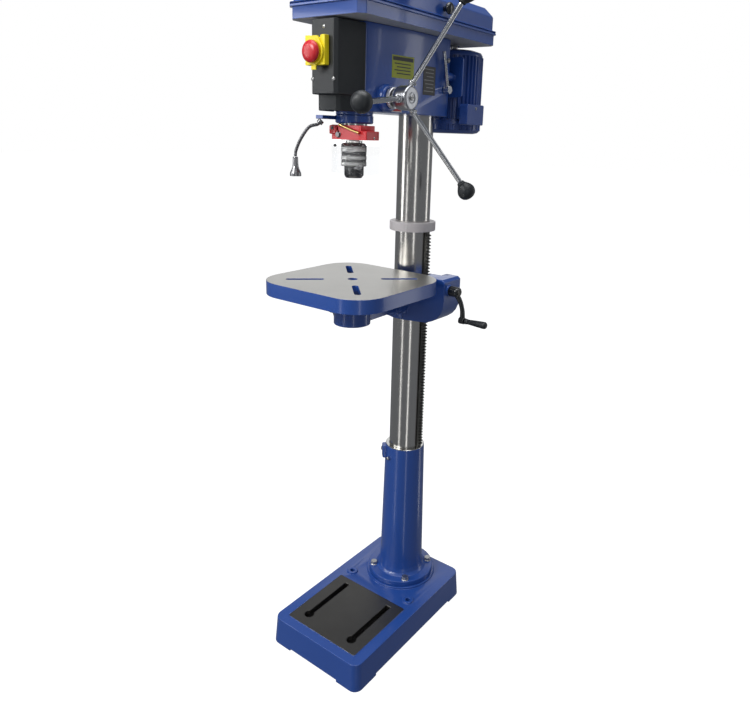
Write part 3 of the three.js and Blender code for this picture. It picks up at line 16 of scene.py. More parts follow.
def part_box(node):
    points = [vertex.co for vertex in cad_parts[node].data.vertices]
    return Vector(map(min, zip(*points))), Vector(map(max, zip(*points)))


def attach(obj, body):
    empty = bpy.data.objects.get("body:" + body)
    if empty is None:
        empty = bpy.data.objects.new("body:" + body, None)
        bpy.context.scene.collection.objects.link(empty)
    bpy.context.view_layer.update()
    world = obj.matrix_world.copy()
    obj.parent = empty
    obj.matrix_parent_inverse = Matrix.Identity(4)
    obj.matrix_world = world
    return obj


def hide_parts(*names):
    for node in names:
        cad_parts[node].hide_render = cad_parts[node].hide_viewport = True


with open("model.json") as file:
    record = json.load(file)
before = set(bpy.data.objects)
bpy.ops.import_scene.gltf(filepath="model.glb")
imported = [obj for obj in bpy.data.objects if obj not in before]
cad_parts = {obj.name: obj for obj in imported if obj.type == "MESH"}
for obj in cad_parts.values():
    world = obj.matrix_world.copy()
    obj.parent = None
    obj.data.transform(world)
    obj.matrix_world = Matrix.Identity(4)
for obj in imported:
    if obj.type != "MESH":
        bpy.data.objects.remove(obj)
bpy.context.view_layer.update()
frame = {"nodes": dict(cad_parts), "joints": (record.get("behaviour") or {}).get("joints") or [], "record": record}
MM = 0.001
NODES = frame["nodes"]
BODY_OF = {n: b for b, members in frame["record"]["behaviour"]["bodies"].items() for n in members}
SLOT_OF = {s["node"]: s["material_slot"] for s in frame["record"]["subparts"]}
JOINTS = {j["name"]: j for j in frame["joints"]}


def corners(node):
    """The lowest and highest corner of a part, as arrays."""
    low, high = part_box(node)
    return np.array(low), np.array(high)


def middle(node):
    low, high = corners(node)
    return (low + high) / 2


def vertices_of(node):
    """Every vertex of a part as an (n, 3) array."""
    co = np.empty(len(NODES[node].data.vertices) * 3)
    NODES[node].data.vertices.foreach_get("co", co)
    return co.reshape(-1, 3)


# %% [markdown]
# ## Camera, floor and light
# The camera stands to the operator's right at head height and looks down at the table, with a slight roll. Tall
# narrow lights draw bright upright bands on the polished column, because a mirror-like cylinder only shows what
# stands around it. They reach below the floor, since a column seen from above mirrors what is low. A broad light
# behind gives the ground table its sheen. The sky is white where it is seen straight or through clear plastic, and a
# quieter grey where metal reflects it.

# %% Camera
EYE = Vector((1.02289, -1.43597, 1.396811))
YAW, PITCH, ROLL = 0.623, -0.261, 0.034
LENS_MM, SENSOR_MM = 31.2253, 36
SHIFT = (-0.0428307, -0.0605387)

ahead = Vector((-math.sin(YAW) * math.cos(PITCH), math.cos(YAW) * math.cos(PITCH), math.sin(PITCH)))
level = Vector((math.cos(YAW), math.sin(YAW), 0))
upright = level.cross(ahead)
right = math.cos(ROLL) * level + math.sin(ROLL) * upright
up = -math.sin(ROLL) * level + math.cos(ROLL) * upright
camera = bpy.data.objects.new("camera", bpy.data.cameras.new("camera"))
camera.matrix_world = Matrix.Translation(EYE) @ Matrix((right, up, -ahead)).transposed().to_4x4()
camera.data.sensor_width = SENSOR_MM
camera.data.lens = LENS_MM
camera.data.shift_x, camera.data.shift_y = SHIFT
camera.data.clip_end = 50
scene = bpy.context.scene
scene.collection.objects.link(camera)
scene.camera = camera
scene.view_settings.view_transform = "Standard"
print("lens", round(camera.data.lens, 2), "mm")


# %% Lights and floor
def soft_light(name, place, aim, size, power, colour=(1, 1, 1)):
    """An upright rectangle of light that faces a point."""
    lamp = bpy.data.lights.new(name, "AREA")
    lamp.shape = "RECTANGLE"
    lamp.size, lamp.size_y = size
    lamp.energy = power
    lamp.color = colour
    holder = bpy.data.objects.new(name, lamp)
    holder.location = place
    holder.rotation_euler = (Vector(aim) - Vector(place)).to_track_quat("-Z", "Y").to_euler()
    scene.collection.objects.link(holder)


soft_light("key_left", (-2.2, -2.4, 1.9), (0, -0.1, 0.9), (0.7, 2.6), 26)
soft_light("strip_left", (-0.50, -3.0, 0.5), (0, 0, 0.5), (0.32, 4.4), 9)
soft_light("strip_right", (2.15, -2.05, 0.5), (0, 0, 0.5), (0.30, 4.4), 9)
soft_light("rim_right", (2.1, 2.3, 0.7), (0, 0, 0.7), (0.5, 4.4), 14)
soft_light("back", (-2.0, 2.9, 2.0), (0, -0.1, 0.9), (3.0, 1.5), 13)
soft_light("front_fill", (-0.7, -3.3, 3.0), (0, -0.3, 1.3), (1.6, 1.0), 75)
soft_light("top", (0.2, -0.4, 3.6), (0, -0.1, 0.5), (2.2, 2.2), 66)

world = bpy.data.worlds.new("studio")
scene.world = world
world.use_nodes = True
sky = world.node_tree
sky.nodes.clear()
ray, straight, reflected, seen, either, out = (sky.nodes.new("ShaderNode" + kind) for kind in (
    "LightPath", "Math", "Background", "Background", "MixShader", "OutputWorld"))
straight.operation = "MAXIMUM"
reflected.inputs["Color"].default_value = (0.88, 0.92, 1.0, 1)
reflected.inputs["Strength"].default_value = 0.20
seen.inputs["Color"].default_value = (1, 1, 1, 1)
for source, target in ((ray.outputs["Is Camera Ray"], straight.inputs[0]),
                       (ray.outputs["Is Transmission Ray"], straight.inputs[1]),
                       (straight.outputs[0], either.inputs[0]), (reflected.outputs[0], either.inputs[1]),
                       (seen.outputs[0], either.inputs[2]), (either.outputs[0], out.inputs["Surface"])):
    sky.links.new(source, target)

# %% [markdown]
# ## Shared effects
# Most finishes need the same three things: a colour that drifts a little from place to place, a gloss that is not
# even, and a fine relief. One node group gives all three, and each material sets its own amounts. A second group
# makes machining marks: noise that is stretched along the cutter's path, in straight lines or in rings.


# %% Node groups
def new_group(name, inputs, outputs):
    """A shader node group with named sockets; inputs are (kind, name, value)."""
    tree = bpy.data.node_groups.new(name, "ShaderNodeTree")
    for kind, label, value in inputs:
        socket = tree.interface.new_socket(label, in_out="INPUT", socket_type="NodeSocket" + kind)
        socket.default_value = value
    for kind, label in outputs:
        tree.interface.new_socket(label, in_out="OUTPUT", socket_type="NodeSocket" + kind)
    return tree, tree.nodes.new("NodeGroupInput"), tree.nodes.new("NodeGroupOutput")


def add_node(tree, kind, values, **settings):
    """A node of a kind; each value, by input name or number, is a plain value or the socket that drives it."""
    node = tree.nodes.new("ShaderNode" + kind)
    for label, value in settings.items():
        setattr(node, label, value)
    for label, value in values.items():
        if isinstance(value, bpy.types.NodeSocket):
            tree.links.new(value, node.inputs[label])
        else:
            node.inputs[label].default_value = value
    return node


def math_node(tree, operation, *values):
    return add_node(tree, "Math", dict(enumerate(values)), operation=operation).outputs[0]


def noise_node(tree, vector, scale, detail=3.0, roughness=0.55):
    values = {"Vector": vector, "Scale": scale, "Detail": detail, "Roughness": roughness}
    return add_node(tree, "TexNoise", values).outputs["Fac"]


def bump_node(tree, height, strength, distance):
    return add_node(tree, "Bump", {"Strength": strength, "Distance": distance, "Height": height}).outputs["Normal"]


def mix_colour(tree, factor, first, second):
    return add_node(tree, "Mix", {0: factor, 6: first, 7: second}, data_type="RGBA").outputs[2]


def make_skin_group():
    """Colour = the two colours mixed by large patches; Roughness = its value plus spread x (patch - 1/2);
    Normal = bump of a fine grain."""
    tree, given, result = new_group("Worn skin", [
        ("Vector", "Vector", (0, 0, 0)), ("Color", "Colour", (1, 1, 1, 1)), ("Color", "Shade", (0, 0, 0, 1)),
        ("Float", "Patches", 6.0), ("Float", "Grain", 400.0), ("Float", "Roughness", 0.5),
        ("Float", "Spread", 0.1), ("Float", "Relief", 0.1)],
        [("Color", "Colour"), ("Float", "Roughness"), ("Vector", "Normal")])
    patch = noise_node(tree, given.outputs["Vector"], given.outputs["Patches"], 4)
    grain = noise_node(tree, given.outputs["Vector"], given.outputs["Grain"], 2)
    colour = mix_colour(tree, patch, given.outputs["Colour"], given.outputs["Shade"])
    drift = math_node(tree, "MULTIPLY", math_node(tree, "SUBTRACT", patch, 0.5), given.outputs["Spread"])
    roughness = math_node(tree, "ADD", given.outputs["Roughness"], drift)
    normal = bump_node(tree, grain, given.outputs["Relief"], 0.0006)
    for label, socket in (("Colour", colour), ("Roughness", roughness), ("Normal", normal)):
        tree.links.new(socket, result.inputs[label])
    return tree


def make_rings_group():
    """Marks = noise over (distance from the centre line x fineness, height x fineness, a little of the angle)."""
    tree, given, result = new_group("Cutter marks", [
        ("Vector", "Vector", (0, 0, 0)), ("Float", "Ring fineness", 300.0), ("Float", "Height fineness", 300.0),
        ("Float", "Along", 1.0), ("Float", "Relief", 0.2)], [("Float", "Marks"), ("Vector", "Normal")])
    x, y, z = add_node(tree, "SeparateXYZ", {0: given.outputs["Vector"]}).outputs
    square = math_node(tree, "ADD", math_node(tree, "MULTIPLY", x, x), math_node(tree, "MULTIPLY", y, y))
    radius = math_node(tree, "SQRT", square)
    angle = math_node(tree, "ARCTAN2", y, x)
    pairs = ((radius, "Ring fineness"), (z, "Height fineness"), (angle, "Along"))
    stretched = {k: math_node(tree, "MULTIPLY", value, given.outputs[label])
                 for k, (value, label) in enumerate(pairs)}
    marks = noise_node(tree, add_node(tree, "CombineXYZ", stretched).outputs[0], 1.0, 3, 0.6)
    tree.links.new(marks, result.inputs["Marks"])
    tree.links.new(bump_node(tree, marks, given.outputs["Relief"], 0.0003), result.inputs["Normal"])
    return tree


WORN_SKIN = make_skin_group()
CUTTER_MARKS = make_rings_group()
print("node groups:", [g.name for g in bpy.data.node_groups])

# %% [markdown]
# ## Finishes
# Each finish is one Principled shader whose colour, roughness and normal come from the groups above. Paint gets a
# clear coat for its gloss; bare metal gets cutter marks turned about its own axis, which spread the highlight
# into streaks; plastic gets a faint moulded grain.


# %% Materials
def bare_material(name, **values):
    material = bpy.data.materials.new(name)
    material.use_nodes = True
    shader = material.node_tree.nodes["Principled BSDF"]
    for label, value in values.items():
        shader.inputs[label.replace("_", " ")].default_value = value
    return material, material.node_tree, shader


def skin(name, colour, shade, roughness, spread=0.1, patches=6.0, grain=400.0, relief=0.1, **values):
    """A painted or moulded surface."""
    material, tree, shader = bare_material(name, **values)
    where = tree.nodes.new("ShaderNodeTexCoord").outputs["Object"]
    group = tree.nodes.new("ShaderNodeGroup")
    group.node_tree = WORN_SKIN
    tree.links.new(where, group.inputs["Vector"])
    amounts = {"Colour": (*colour, 1), "Shade": (*shade, 1), "Patches": patches, "Grain": grain,
               "Roughness": roughness, "Spread": spread, "Relief": relief}
    for label, value in amounts.items():
        group.inputs[label].default_value = value
    for label, target in (("Colour", "Base Color"), ("Roughness", "Roughness"), ("Normal", "Normal")):
        tree.links.new(group.outputs[label], shader.inputs[target])
    return material


AXIS_TURN = {"z": (0, 0, 0), "x": (0, math.pi / 2, 0), "y": (math.pi / 2, 0, 0)}


def turned_metal(name, colour, shade, roughness, centre, axis="z", rings=500.0, heights=500.0, along=1.0,
                 relief=0.2, spread=0.12, **values):
    """Bare metal with cutter marks about an upright or crosswise line through a centre."""
    material, tree, shader = bare_material(name, Metallic=1.0, **values)
    where = tree.nodes.new("ShaderNodeTexCoord").outputs["Object"]
    about = add_node(tree, "Mapping", {"Vector": where, "Location": centre, "Rotation": AXIS_TURN[axis]},
                     vector_type="TEXTURE")
    marks = tree.nodes.new("ShaderNodeGroup")
    marks.node_tree = CUTTER_MARKS
    tree.links.new(about.outputs["Vector"], marks.inputs["Vector"])
    amounts = {"Ring fineness": rings, "Height fineness": heights, "Along": along, "Relief": relief}
    for label, value in amounts.items():
        marks.inputs[label].default_value = value
    stain = noise_node(tree, where, 9.0, 5)
    tree.links.new(mix_colour(tree, stain, (*colour, 1), (*shade, 1)), shader.inputs["Base Color"])
    drift = math_node(tree, "MULTIPLY", math_node(tree, "SUBTRACT", marks.outputs["Marks"], 0.5), spread)
    tree.links.new(math_node(tree, "ADD", drift, roughness), shader.inputs["Roughness"])
    tree.links.new(marks.outputs["Normal"], shader.inputs["Normal"])
    return material


COLUMN_LINE = (0, 0, 0)
SPINDLE_LINE = tuple(middle("spindle"))
PINION_LINE = tuple(JOINTS["feed_turn"]["pos_m"])

ENAMEL = skin("blue enamel", (0.016, 0.072, 0.33), (0.013, 0.060, 0.28), 0.34, 0.10, 5, 260, 0.12,
              Coat_Weight=0.55, Coat_Roughness=0.12, Specular_IOR_Level=0.5)
MOTOR_ENAMEL = skin("blue motor enamel", (0.014, 0.060, 0.28), (0.012, 0.050, 0.24), 0.38, 0.10, 7, 420, 0.18,
                    Coat_Weight=0.4, Coat_Roughness=0.15)
# Pale grey for the belt case's underside: painted light, standing in for light bounced up from the floor.
BOUNCE_LIGHT_PAINT = skin("pale undercoat", (0.46, 0.47, 0.49), (0.40, 0.41, 0.44), 0.5, 0.1, 6, 300, 0.1)
BLACK = skin("black plastic", (0.014, 0.018, 0.021), (0.008, 0.010, 0.012), 0.42, 0.12, 9, 900, 0.25)
BLACK_GLOSS = skin("black moulding", (0.010, 0.012, 0.014), (0.006, 0.007, 0.008), 0.22, 0.08, 12, 700, 0.06,
                   Coat_Weight=0.3, Coat_Roughness=0.08)
RED = skin("red plastic", (0.60, 0.014, 0.022), (0.50, 0.010, 0.018), 0.36, 0.08, 14, 700, 0.12, Coat_Weight=0.2)
YELLOW = skin("yellow plastic", (0.90, 0.74, 0.012), (0.84, 0.67, 0.010), 0.42, 0.08, 14, 700, 0.12)
GREEN = skin("green plastic", (0.02, 0.34, 0.06), (0.02, 0.28, 0.05), 0.35, 0.08, 14, 700, 0.1)
COLLAR_PAINT = skin("grey ring", (0.50, 0.47, 0.48), (0.44, 0.42, 0.43), 0.42, 0.1, 12, 500, 0.1)
RUBBER = skin("belt rubber", (0.018, 0.018, 0.018), (0.03, 0.03, 0.03), 0.8, 0.1, 20, 900, 0.4)
BRASS = skin("brass pin", (0.72, 0.50, 0.20), (0.60, 0.40, 0.15), 0.3, 0.1, 20, 600, 0.1, Metallic=1.0)
COLUMN_STEEL = turned_metal("polished column", (0.60, 0.585, 0.555), (0.50, 0.485, 0.46), 0.20, COLUMN_LINE,
                            heights=900, rings=900, relief=0.10, spread=0.10)
SPINDLE_STEEL = turned_metal("ground spindle steel", (0.62, 0.62, 0.60), (0.52, 0.52, 0.50), 0.2, SPINDLE_LINE,
                             heights=1200, rings=1200, relief=0.15)
GUN_STEEL = turned_metal("oiled dark steel", (0.20, 0.20, 0.205), (0.13, 0.13, 0.135), 0.3, SPINDLE_LINE,
                         heights=1500, rings=1500, relief=0.2)
CHROME = turned_metal("bright chrome", (0.62, 0.63, 0.65), (0.54, 0.55, 0.57), 0.16, PINION_LINE, "x",
                      heights=400, rings=400, relief=0.03, spread=0.05)
BOLT_STEEL = skin("zinc plated steel", (0.55, 0.55, 0.54), (0.42, 0.42, 0.42), 0.32, 0.2, 60, 900, 0.12,
                  Metallic=1.0)
DARK_IRON = skin("oiled raw iron", (0.055, 0.055, 0.052), (0.09, 0.088, 0.08), 0.45, 0.2, 18, 700, 0.2,
                 Metallic=0.8)
ALLOY = turned_metal("turned alloy", (0.62, 0.62, 0.62), (0.52, 0.52, 0.52), 0.32, SPINDLE_LINE, heights=900,
                     rings=900, relief=0.2)
print(len(bpy.data.materials), "materials")

# %% [markdown]
# ## From arrays to meshes
# Every round part is a profile turned about a line, and every bent part is a ring carried along a path. Both are a
# grid of points with two parameters, so one function can turn either grid into a closed mesh. Castings are not
# round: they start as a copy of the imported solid, whose flat triangles are merged into whole faces before a bevel
# rounds every edge, as a mould and a file would.


# %% Grid of points to a closed mesh
def outward_mesh(name, points, faces, merge=1e-6):
    """A mesh whose doubled points are merged, where `merge` isn't 0, and whose faces all point outwards."""
    mesh = bpy.data.meshes.new(name)
    mesh.from_pydata(points.tolist(), [], faces)
    loose = bmesh.new()
    loose.from_mesh(mesh)
    if merge:
        bmesh.ops.remove_doubles(loose, verts=loose.verts, dist=merge)
    bmesh.ops.recalc_face_normals(loose, faces=loose.faces)
    loose.to_mesh(mesh)
    loose.free()
    return mesh


def closed_mesh(name, grid, wrap_columns=True, wrap_rows=False):
    """Joins a (rows, columns, 3) grid into quads. Columns wrap round; rows wrap too on a ring-shaped body, or else
    the first and last rows are closed with one face each."""
    rows, columns = grid.shape[:2]
    index = np.arange(rows * columns).reshape(rows, columns)
    down = np.roll(index, -1, 0) if wrap_rows else index[1:]
    here = index if wrap_rows else index[:-1]
    faces = np.stack([here, np.roll(here, -1, 1), np.roll(down, -1, 1), down], -1).reshape(-1, 4).tolist()
    if not wrap_rows:
        faces += [index[0][::-1].tolist(), index[-1].tolist()]
    return outward_mesh(name, grid.reshape(-1, 3), faces)


def across(direction):
    """Two unit vectors square to a direction and to each other."""
    d = np.array(direction, float) / np.linalg.norm(direction)
    helper = np.array([0, 0, 1.0]) if abs(d[2]) < 0.9 else np.array([0, 1.0, 0])
    first = np.cross(helper, d)
    first /= np.linalg.norm(first)
    return d, first, np.cross(d, first)


def turned_grid(profile, centre, direction=(0, 0, 1), sides=96, radius_of=None):
    """point = centre + h d + r (cos a e1 + sin a e2) for each (r, h) of the profile and each angle a; radius_of may
    change r with (r, h, a), as a knurl or a hexagon does."""
    d, e1, e2 = across(direction)
    a = np.linspace(0, 2 * math.pi, sides, endpoint=False)
    r, h = (np.array(profile, float)[:, k, None] for k in (0, 1))
    radius = r + 0 * a if radius_of is None else radius_of(r, h, a)
    ring = np.cos(a)[:, None] * e1 + np.sin(a)[:, None] * e2
    return np.array(centre) + (h + 0 * a)[..., None] * d + radius[..., None] * ring


def rounded_profile(points, radius=0.8 * MM, steps=3):
    """Each corner of an open (r, h) profile becomes a short curve: p = (1-t)^2 a + 2t(1-t) corner + t^2 b, where a
    and b lie on the two sides, at most `radius` away and never past their middle."""
    p = np.array(points, float)
    result = [p[:1]]
    t = np.linspace(0, 1, steps + 1)[:, None]
    for before, corner, after in zip(p[:-2], p[1:-1], p[2:]):
        reach = [min(radius, 0.45 * np.linalg.norm(q - corner)) for q in (before, after)]
        a, b = (corner + s * (q - corner) / max(np.linalg.norm(q - corner), 1e-9)
                for s, q in zip(reach, (before, after)))
        result.append((1 - t) ** 2 * a + 2 * t * (1 - t) * corner + t ** 2 * b)
    return np.vstack([*result, p[-1:]])


def swept_grid(path, radii, sides=24, flat=1.0):
    """A ring at each point of a path, square to it. The ring's frame is carried along without twist:
    e1 loses its part along the new direction and is made unit length again. `flat` squeezes e2."""
    path = np.array(path, float)
    along = np.gradient(path, axis=0)
    along /= np.linalg.norm(along, axis=1)[:, None]
    _, e1, _ = across(along[0])
    a = np.linspace(0, 2 * math.pi, sides, endpoint=False)
    rings = []
    for point, d, r in zip(path, along, np.broadcast_to(radii, len(path))):
        e1 = e1 - (e1 @ d) * d
        e1 /= np.linalg.norm(e1)
        rings.append(point + r * (np.cos(a)[:, None] * e1 + flat * np.sin(a)[:, None] * np.cross(d, e1)))
    return np.array(rings)


def smooth_path(points, count):
    """A curve through the points, evenly spaced: between p1 and p2 it is the blend
    ((2 p1) + (p2 - p0) t + (2 p0 - 5 p1 + 4 p2 - p3) t^2 + (3 p1 - p0 - 3 p2 + p3) t^3) / 2."""
    p = np.array(points, float)
    p = np.vstack([2 * p[0] - p[1], p, 2 * p[-1] - p[-2]])
    t = np.linspace(0, 1, 40, endpoint=False)[:, None]
    parts = [(2 * b + (c - a) * t + (2 * a - 5 * b + 4 * c - d) * t ** 2 + (3 * b - a - 3 * c + d) * t ** 3) / 2
             for a, b, c, d in zip(p[:-3], p[1:-2], p[2:-1], p[3:])]
    fine = np.vstack([*parts, p[-2:-1]])
    walked = np.concatenate([[0], np.cumsum(np.linalg.norm(np.diff(fine, axis=0), axis=1))])
    even = np.linspace(0, walked[-1], count)
    return np.stack([np.interp(even, walked, fine[:, k]) for k in range(3)], 1)


# %% Placing a finished piece
PIECES = []


def place(name, mesh, body, material, slot, stands_for=(), bevel=0.0, smooth=True):
    """A finished piece: its material, smooth faces with crisp folds, and the body that carries it."""
    piece = bpy.data.objects.new(name, mesh)
    scene.collection.objects.link(piece)
    for finish in material if isinstance(material, (list, tuple)) else [material]:
        mesh.materials.append(finish)
    if smooth:
        mesh.shade_smooth()
        mesh.set_sharp_from_angle(angle=math.radians(32 if bevel else 38))
    if bevel:
        worked = piece.modifiers.new("worked edges", "BEVEL")
        worked.width = bevel
        worked.segments = 2
        worked.limit_method = "ANGLE"
        worked.angle_limit = math.radians(32)
        worked.use_clamp_overlap = False
        worked.harden_normals = True
    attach(piece, body)
    if stands_for:
        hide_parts(*stands_for)
    PIECES.append(name)
    return piece


def shaped(name, grid, body, material, slot, stands_for=()):
    """A closed piece straight from its grid of points."""
    return place(name, closed_mesh(name, grid), body, material, slot, stands_for)


def round_piece(name, node, profile, centre, direction=(0, 0, 1), material=None, sides=96, slot=None, ring=False,
                radius_of=None, extra=False, soft=0.8 * MM):
    """A turned piece in place of a part, or beside it when `extra` is true."""
    outline = np.array(profile, float) if ring else rounded_profile(profile, soft)
    mesh = closed_mesh(name, turned_grid(outline, centre, direction, sides, radius_of), wrap_rows=ring)
    return place(name, mesh, BODY_OF[node], material, slot or SLOT_OF[node], () if extra else (node,))


def worked_casting(node, material, bevel=1.2 * MM, name=None, paint_faces=None):
    """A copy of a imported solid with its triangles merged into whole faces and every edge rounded. paint_faces takes
    the (n, 3) face centres and normals and gives each face's material number."""
    copy = bmesh.new()
    copy.from_mesh(NODES[node].data)
    bmesh.ops.remove_doubles(copy, verts=copy.verts, dist=2e-5)
    bmesh.ops.dissolve_limit(copy, angle_limit=math.radians(1.0), verts=copy.verts, edges=copy.edges)
    mesh = bpy.data.meshes.new(name or node + "_casting")
    copy.to_mesh(mesh)
    copy.free()
    mesh.materials.clear()
    piece = place(mesh.name, mesh, BODY_OF[node], material, SLOT_OF[node], (node,), bevel)
    if paint_faces is not None:
        centres = np.array([f.center for f in mesh.polygons])
        normals = np.array([f.normal for f in mesh.polygons])
        mesh.polygons.foreach_set("material_index", paint_faces(centres, normals).astype(np.int32))
    return piece


def hexagon(r, h, a):
    """The radius of a hexagon whose corners are at r."""
    return r * math.cos(math.pi / 6) / np.cos((a % (math.pi / 3)) - math.pi / 6)


def hex_head(name, body, slot, centre, direction, corner, height, material=None, domed=False, washer=True):
    """A bolt head or an acorn nut: a hexagon cut by a cone, r = min(hexagon(a), cone(h)), on a round washer."""
    foot = 0.22 * height if washer else 0.0
    top = [(0.62, 1.30), (0.45, 1.55), (0.2, 1.72)] if domed else [(0.55, 1.0)]
    shape = [(1.12, 0), (1.12, foot)] if washer else []
    shape += [(0.93, foot + 1e-5), (1.0, foot + 0.1 * height), (1.0, 0.84 * height), (0.86, height)]
    shape += [(r, height * h + 1e-5) for r, h in top]

    def radius(r, h, a):
        is_hex = (h >= foot) & (h <= height + 2e-6) & (r > 0.9 * corner)
        flats = np.minimum(hexagon(corner + 0 * r, h, a), r + 0 * a)
        return np.where(is_hex, flats, r + 0 * a)

    profile = [(r * corner, h) for r, h in shape]
    return shaped(name, turned_grid(profile, centre, direction, 48, radius), body, material or BOLT_STEEL, slot)


print("builders ready")

# %% [markdown]
# ## The stand
# The base is one hollow iron casting. Its ground area is bare metal with two T-slots, so those faces get iron
# instead of enamel. The column socket is turned here as a fine surface: a flange, a swept root and a slow taper.
# Its top edge is machined bright where the column enters.

# %% Base
base_low = corners("base")[0]
GROUND_FACE = frame["record"]["mounts"][2]["pos_m"][2]
GROUND_BOX = np.array([[-0.1212, base_low[1] + 0.030], [0.1212, base_low[1] + 0.253]])
SLOT_DEPTH, SLOT_PLACE, SLOT_HALF_WIDTH = 0.0235, 0.078, 0.0145


def base_faces(centres, normals):
    """1 on the ground area and inside its slots, 0 elsewhere."""
    inside = np.all((centres[:, :2] > GROUND_BOX[0]) & (centres[:, :2] < GROUND_BOX[1]), axis=1)
    in_slot = np.abs(np.abs(centres[:, 0]) - SLOT_PLACE) < SLOT_HALF_WIDTH
    height = centres[:, 2] - GROUND_FACE
    return inside & ((height > -0.0005) | ((height > -SLOT_DEPTH) & in_slot))


GROUND_IRON_DARK = turned_metal("ground base iron", (0.135, 0.132, 0.125), (0.095, 0.093, 0.088), 0.42,
                                (0.6, -0.25, 0), rings=1400, heights=200, along=3.0, relief=0.35, spread=0.2)
worked_casting("base", [ENAMEL, GROUND_IRON_DARK], 1.6 * MM, paint_faces=base_faces)

# %% Column, socket and collar
SOCKET_BORE = 0.0463
socket_low, socket_high = corners("column_socket")
flange_r = -socket_low[1]
top_z, foot_z = socket_high[2], socket_low[2]
socket_profile = rounded_profile([
    (SOCKET_BORE, foot_z), (flange_r, foot_z), (flange_r, foot_z + 0.0160), (0.0760, foot_z + 0.0165),
    (0.0685, foot_z + 0.0235), (0.0655, foot_z + 0.036), (0.0640, foot_z + 0.055), (0.0570, top_z),
    (SOCKET_BORE, top_z), (SOCKET_BORE, foot_z + 0.3)], 2.4 * MM, 5)
socket_grid = turned_grid(socket_profile, (0, 0, 0), sides=128)
place("socket_casting", closed_mesh("socket_casting", socket_grid, wrap_rows=True), "stand", ENAMEL, "blue_enamel",
      ("column_socket",))
rim = [(SOCKET_BORE, top_z - 0.004), (0.0566, top_z - 0.004), (0.0566, top_z + 0.0001), (0.0556, top_z + 0.0009),
       (SOCKET_BORE + 0.0006, top_z + 0.0009), (SOCKET_BORE, top_z)]
round_piece("socket_rim", "column_socket", rim, (0, 0, 0), material=SPINDLE_STEEL, sides=128, ring=True, extra=True)

column_low, column_high = corners("column")
COLUMN_R = 0.046
column_profile = [(0.041, column_low[2]), (COLUMN_R, column_low[2]), (COLUMN_R, column_high[2] - 0.001),
                  (COLUMN_R - 0.001, column_high[2]), (0.041, column_high[2])]
round_piece("column_tube", "column", column_profile, (0, 0, 0), material=COLUMN_STEEL, sides=160, ring=True)
collar_low, collar_high = corners("column_collar")
collar_profile = rounded_profile([(SOCKET_BORE, collar_low[2] + 0.004), (SOCKET_BORE, collar_low[2]),
                                  (collar_high[0], collar_low[2]), (collar_high[0], collar_high[2]),
                                  (SOCKET_BORE, collar_high[2]), (SOCKET_BORE, collar_low[2] + 0.012)], 1.8 * MM, 4)
round_piece("collar_ring", "column_collar", collar_profile, (0, 0, 0), material=COLLAR_PAINT, sides=128, ring=True)
for side, turn in enumerate((-70, 110)):
    way = np.array([math.cos(math.radians(turn)), math.sin(math.radians(turn)), 0])
    spot = way * (collar_high[0] - 0.002) + [0, 0, (collar_low[2] + collar_high[2]) / 2]
    round_piece(f"collar_screw_{side + 1}", "column_collar", [(0.0040, -0.004), (0.0040, 0.0022), (0.0024, 0.0024),
                (0.0022, 0.0004)], spot, way, BOLT_STEEL, 24, extra=True, soft=0.3 * MM)

# %% Socket bolts and set screw
seat = socket_low[2] + 0.0163
for i in range(1, 5):
    high = corners(f"socket_bolt_{i}")[1]
    cx, cy, _ = middle(f"socket_bolt_{i}")
    bolt = hex_head(f"socket_bolt_head_{i}", "stand", "column_steel", (cx, cy, seat), (0, 0, 1), 0.0098,
                    high[2] - seat)
    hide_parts(f"socket_bolt_{i}")
screw_z = top_z - 0.034
round_piece("socket_set_screw", "column_socket", [(0.0047, -0.004), (0.0047, 0.0100), (0.0035, 0.0112),
            (0.0026, 0.0112), (0.0024, 0.0060)], (-0.016, -0.0535, screw_z), (0, -1, 0), BOLT_STEEL, 32, extra=True,
            soft=0.4 * MM)


def power_ring(sides, power):
    """A unit superellipse: x = sign(cos a) |cos a|^n and y = sign(sin a) |sin a|^n."""
    a = np.linspace(0, 2 * math.pi, sides, endpoint=False)
    both = np.stack([np.cos(a), np.sin(a)], 1)
    return np.sign(both) * np.abs(both) ** power


# The lug is a block on the socket's side, split by the pinch bolt; its section shrinks a little at both ends.
LUG_OUT, LUG_HALF = 0.0585, (0.0085, 0.0135)
lug_turn = math.radians(-135)
lug_rows = np.array([(0.90, top_z - 0.0420), (1.0, top_z - 0.0405), (1.0, top_z - 0.0055), (0.90, top_z - 0.0040)])
spin = np.array([[math.cos(lug_turn), math.sin(lug_turn)], [-math.sin(lug_turn), math.cos(lug_turn)]])
lug_flat = np.array([LUG_OUT, 0]) + (power_ring(48, 0.35) * LUG_HALF)[None] * lug_rows[:, :1, None]
lug_grid = np.concatenate([lug_flat @ spin, np.broadcast_to(lug_rows[:, 1:, None], (4, 48, 1))], 2)
shaped("socket_lug", lug_grid, "stand", ENAMEL, "blue_enamel")
lug_side = np.array([math.cos(lug_turn + math.pi / 2), math.sin(lug_turn + math.pi / 2), 0])
lug_mid = np.array([0.062 * math.cos(lug_turn), 0.062 * math.sin(lug_turn), top_z - 0.023])
hex_head("socket_pinch_bolt", "stand", "column_steel", lug_mid - 0.0130 * lug_side, -lug_side, 0.0072, 0.006)
print(len(PIECES), "pieces so far")

# %% [markdown]
# ## The table
# The table is an iron plate with a rim, ground on top and enamelled round its skirt. A rotary grinder leaves arcs
# about the centre, and those arcs make the soft bright cross that turns with the light.

# %% Table, arm and bracket
table_high = corners("work_table")[1]
TABLE_CENTRE = tuple(middle("work_table")[:2]) + (table_high[2],)
TABLE_IRON = turned_metal("ground table iron", (0.60, 0.59, 0.555), (0.50, 0.49, 0.46), 0.36, TABLE_CENTRE,
                          rings=1800, heights=100, along=1.5, relief=0.30, spread=0.16)


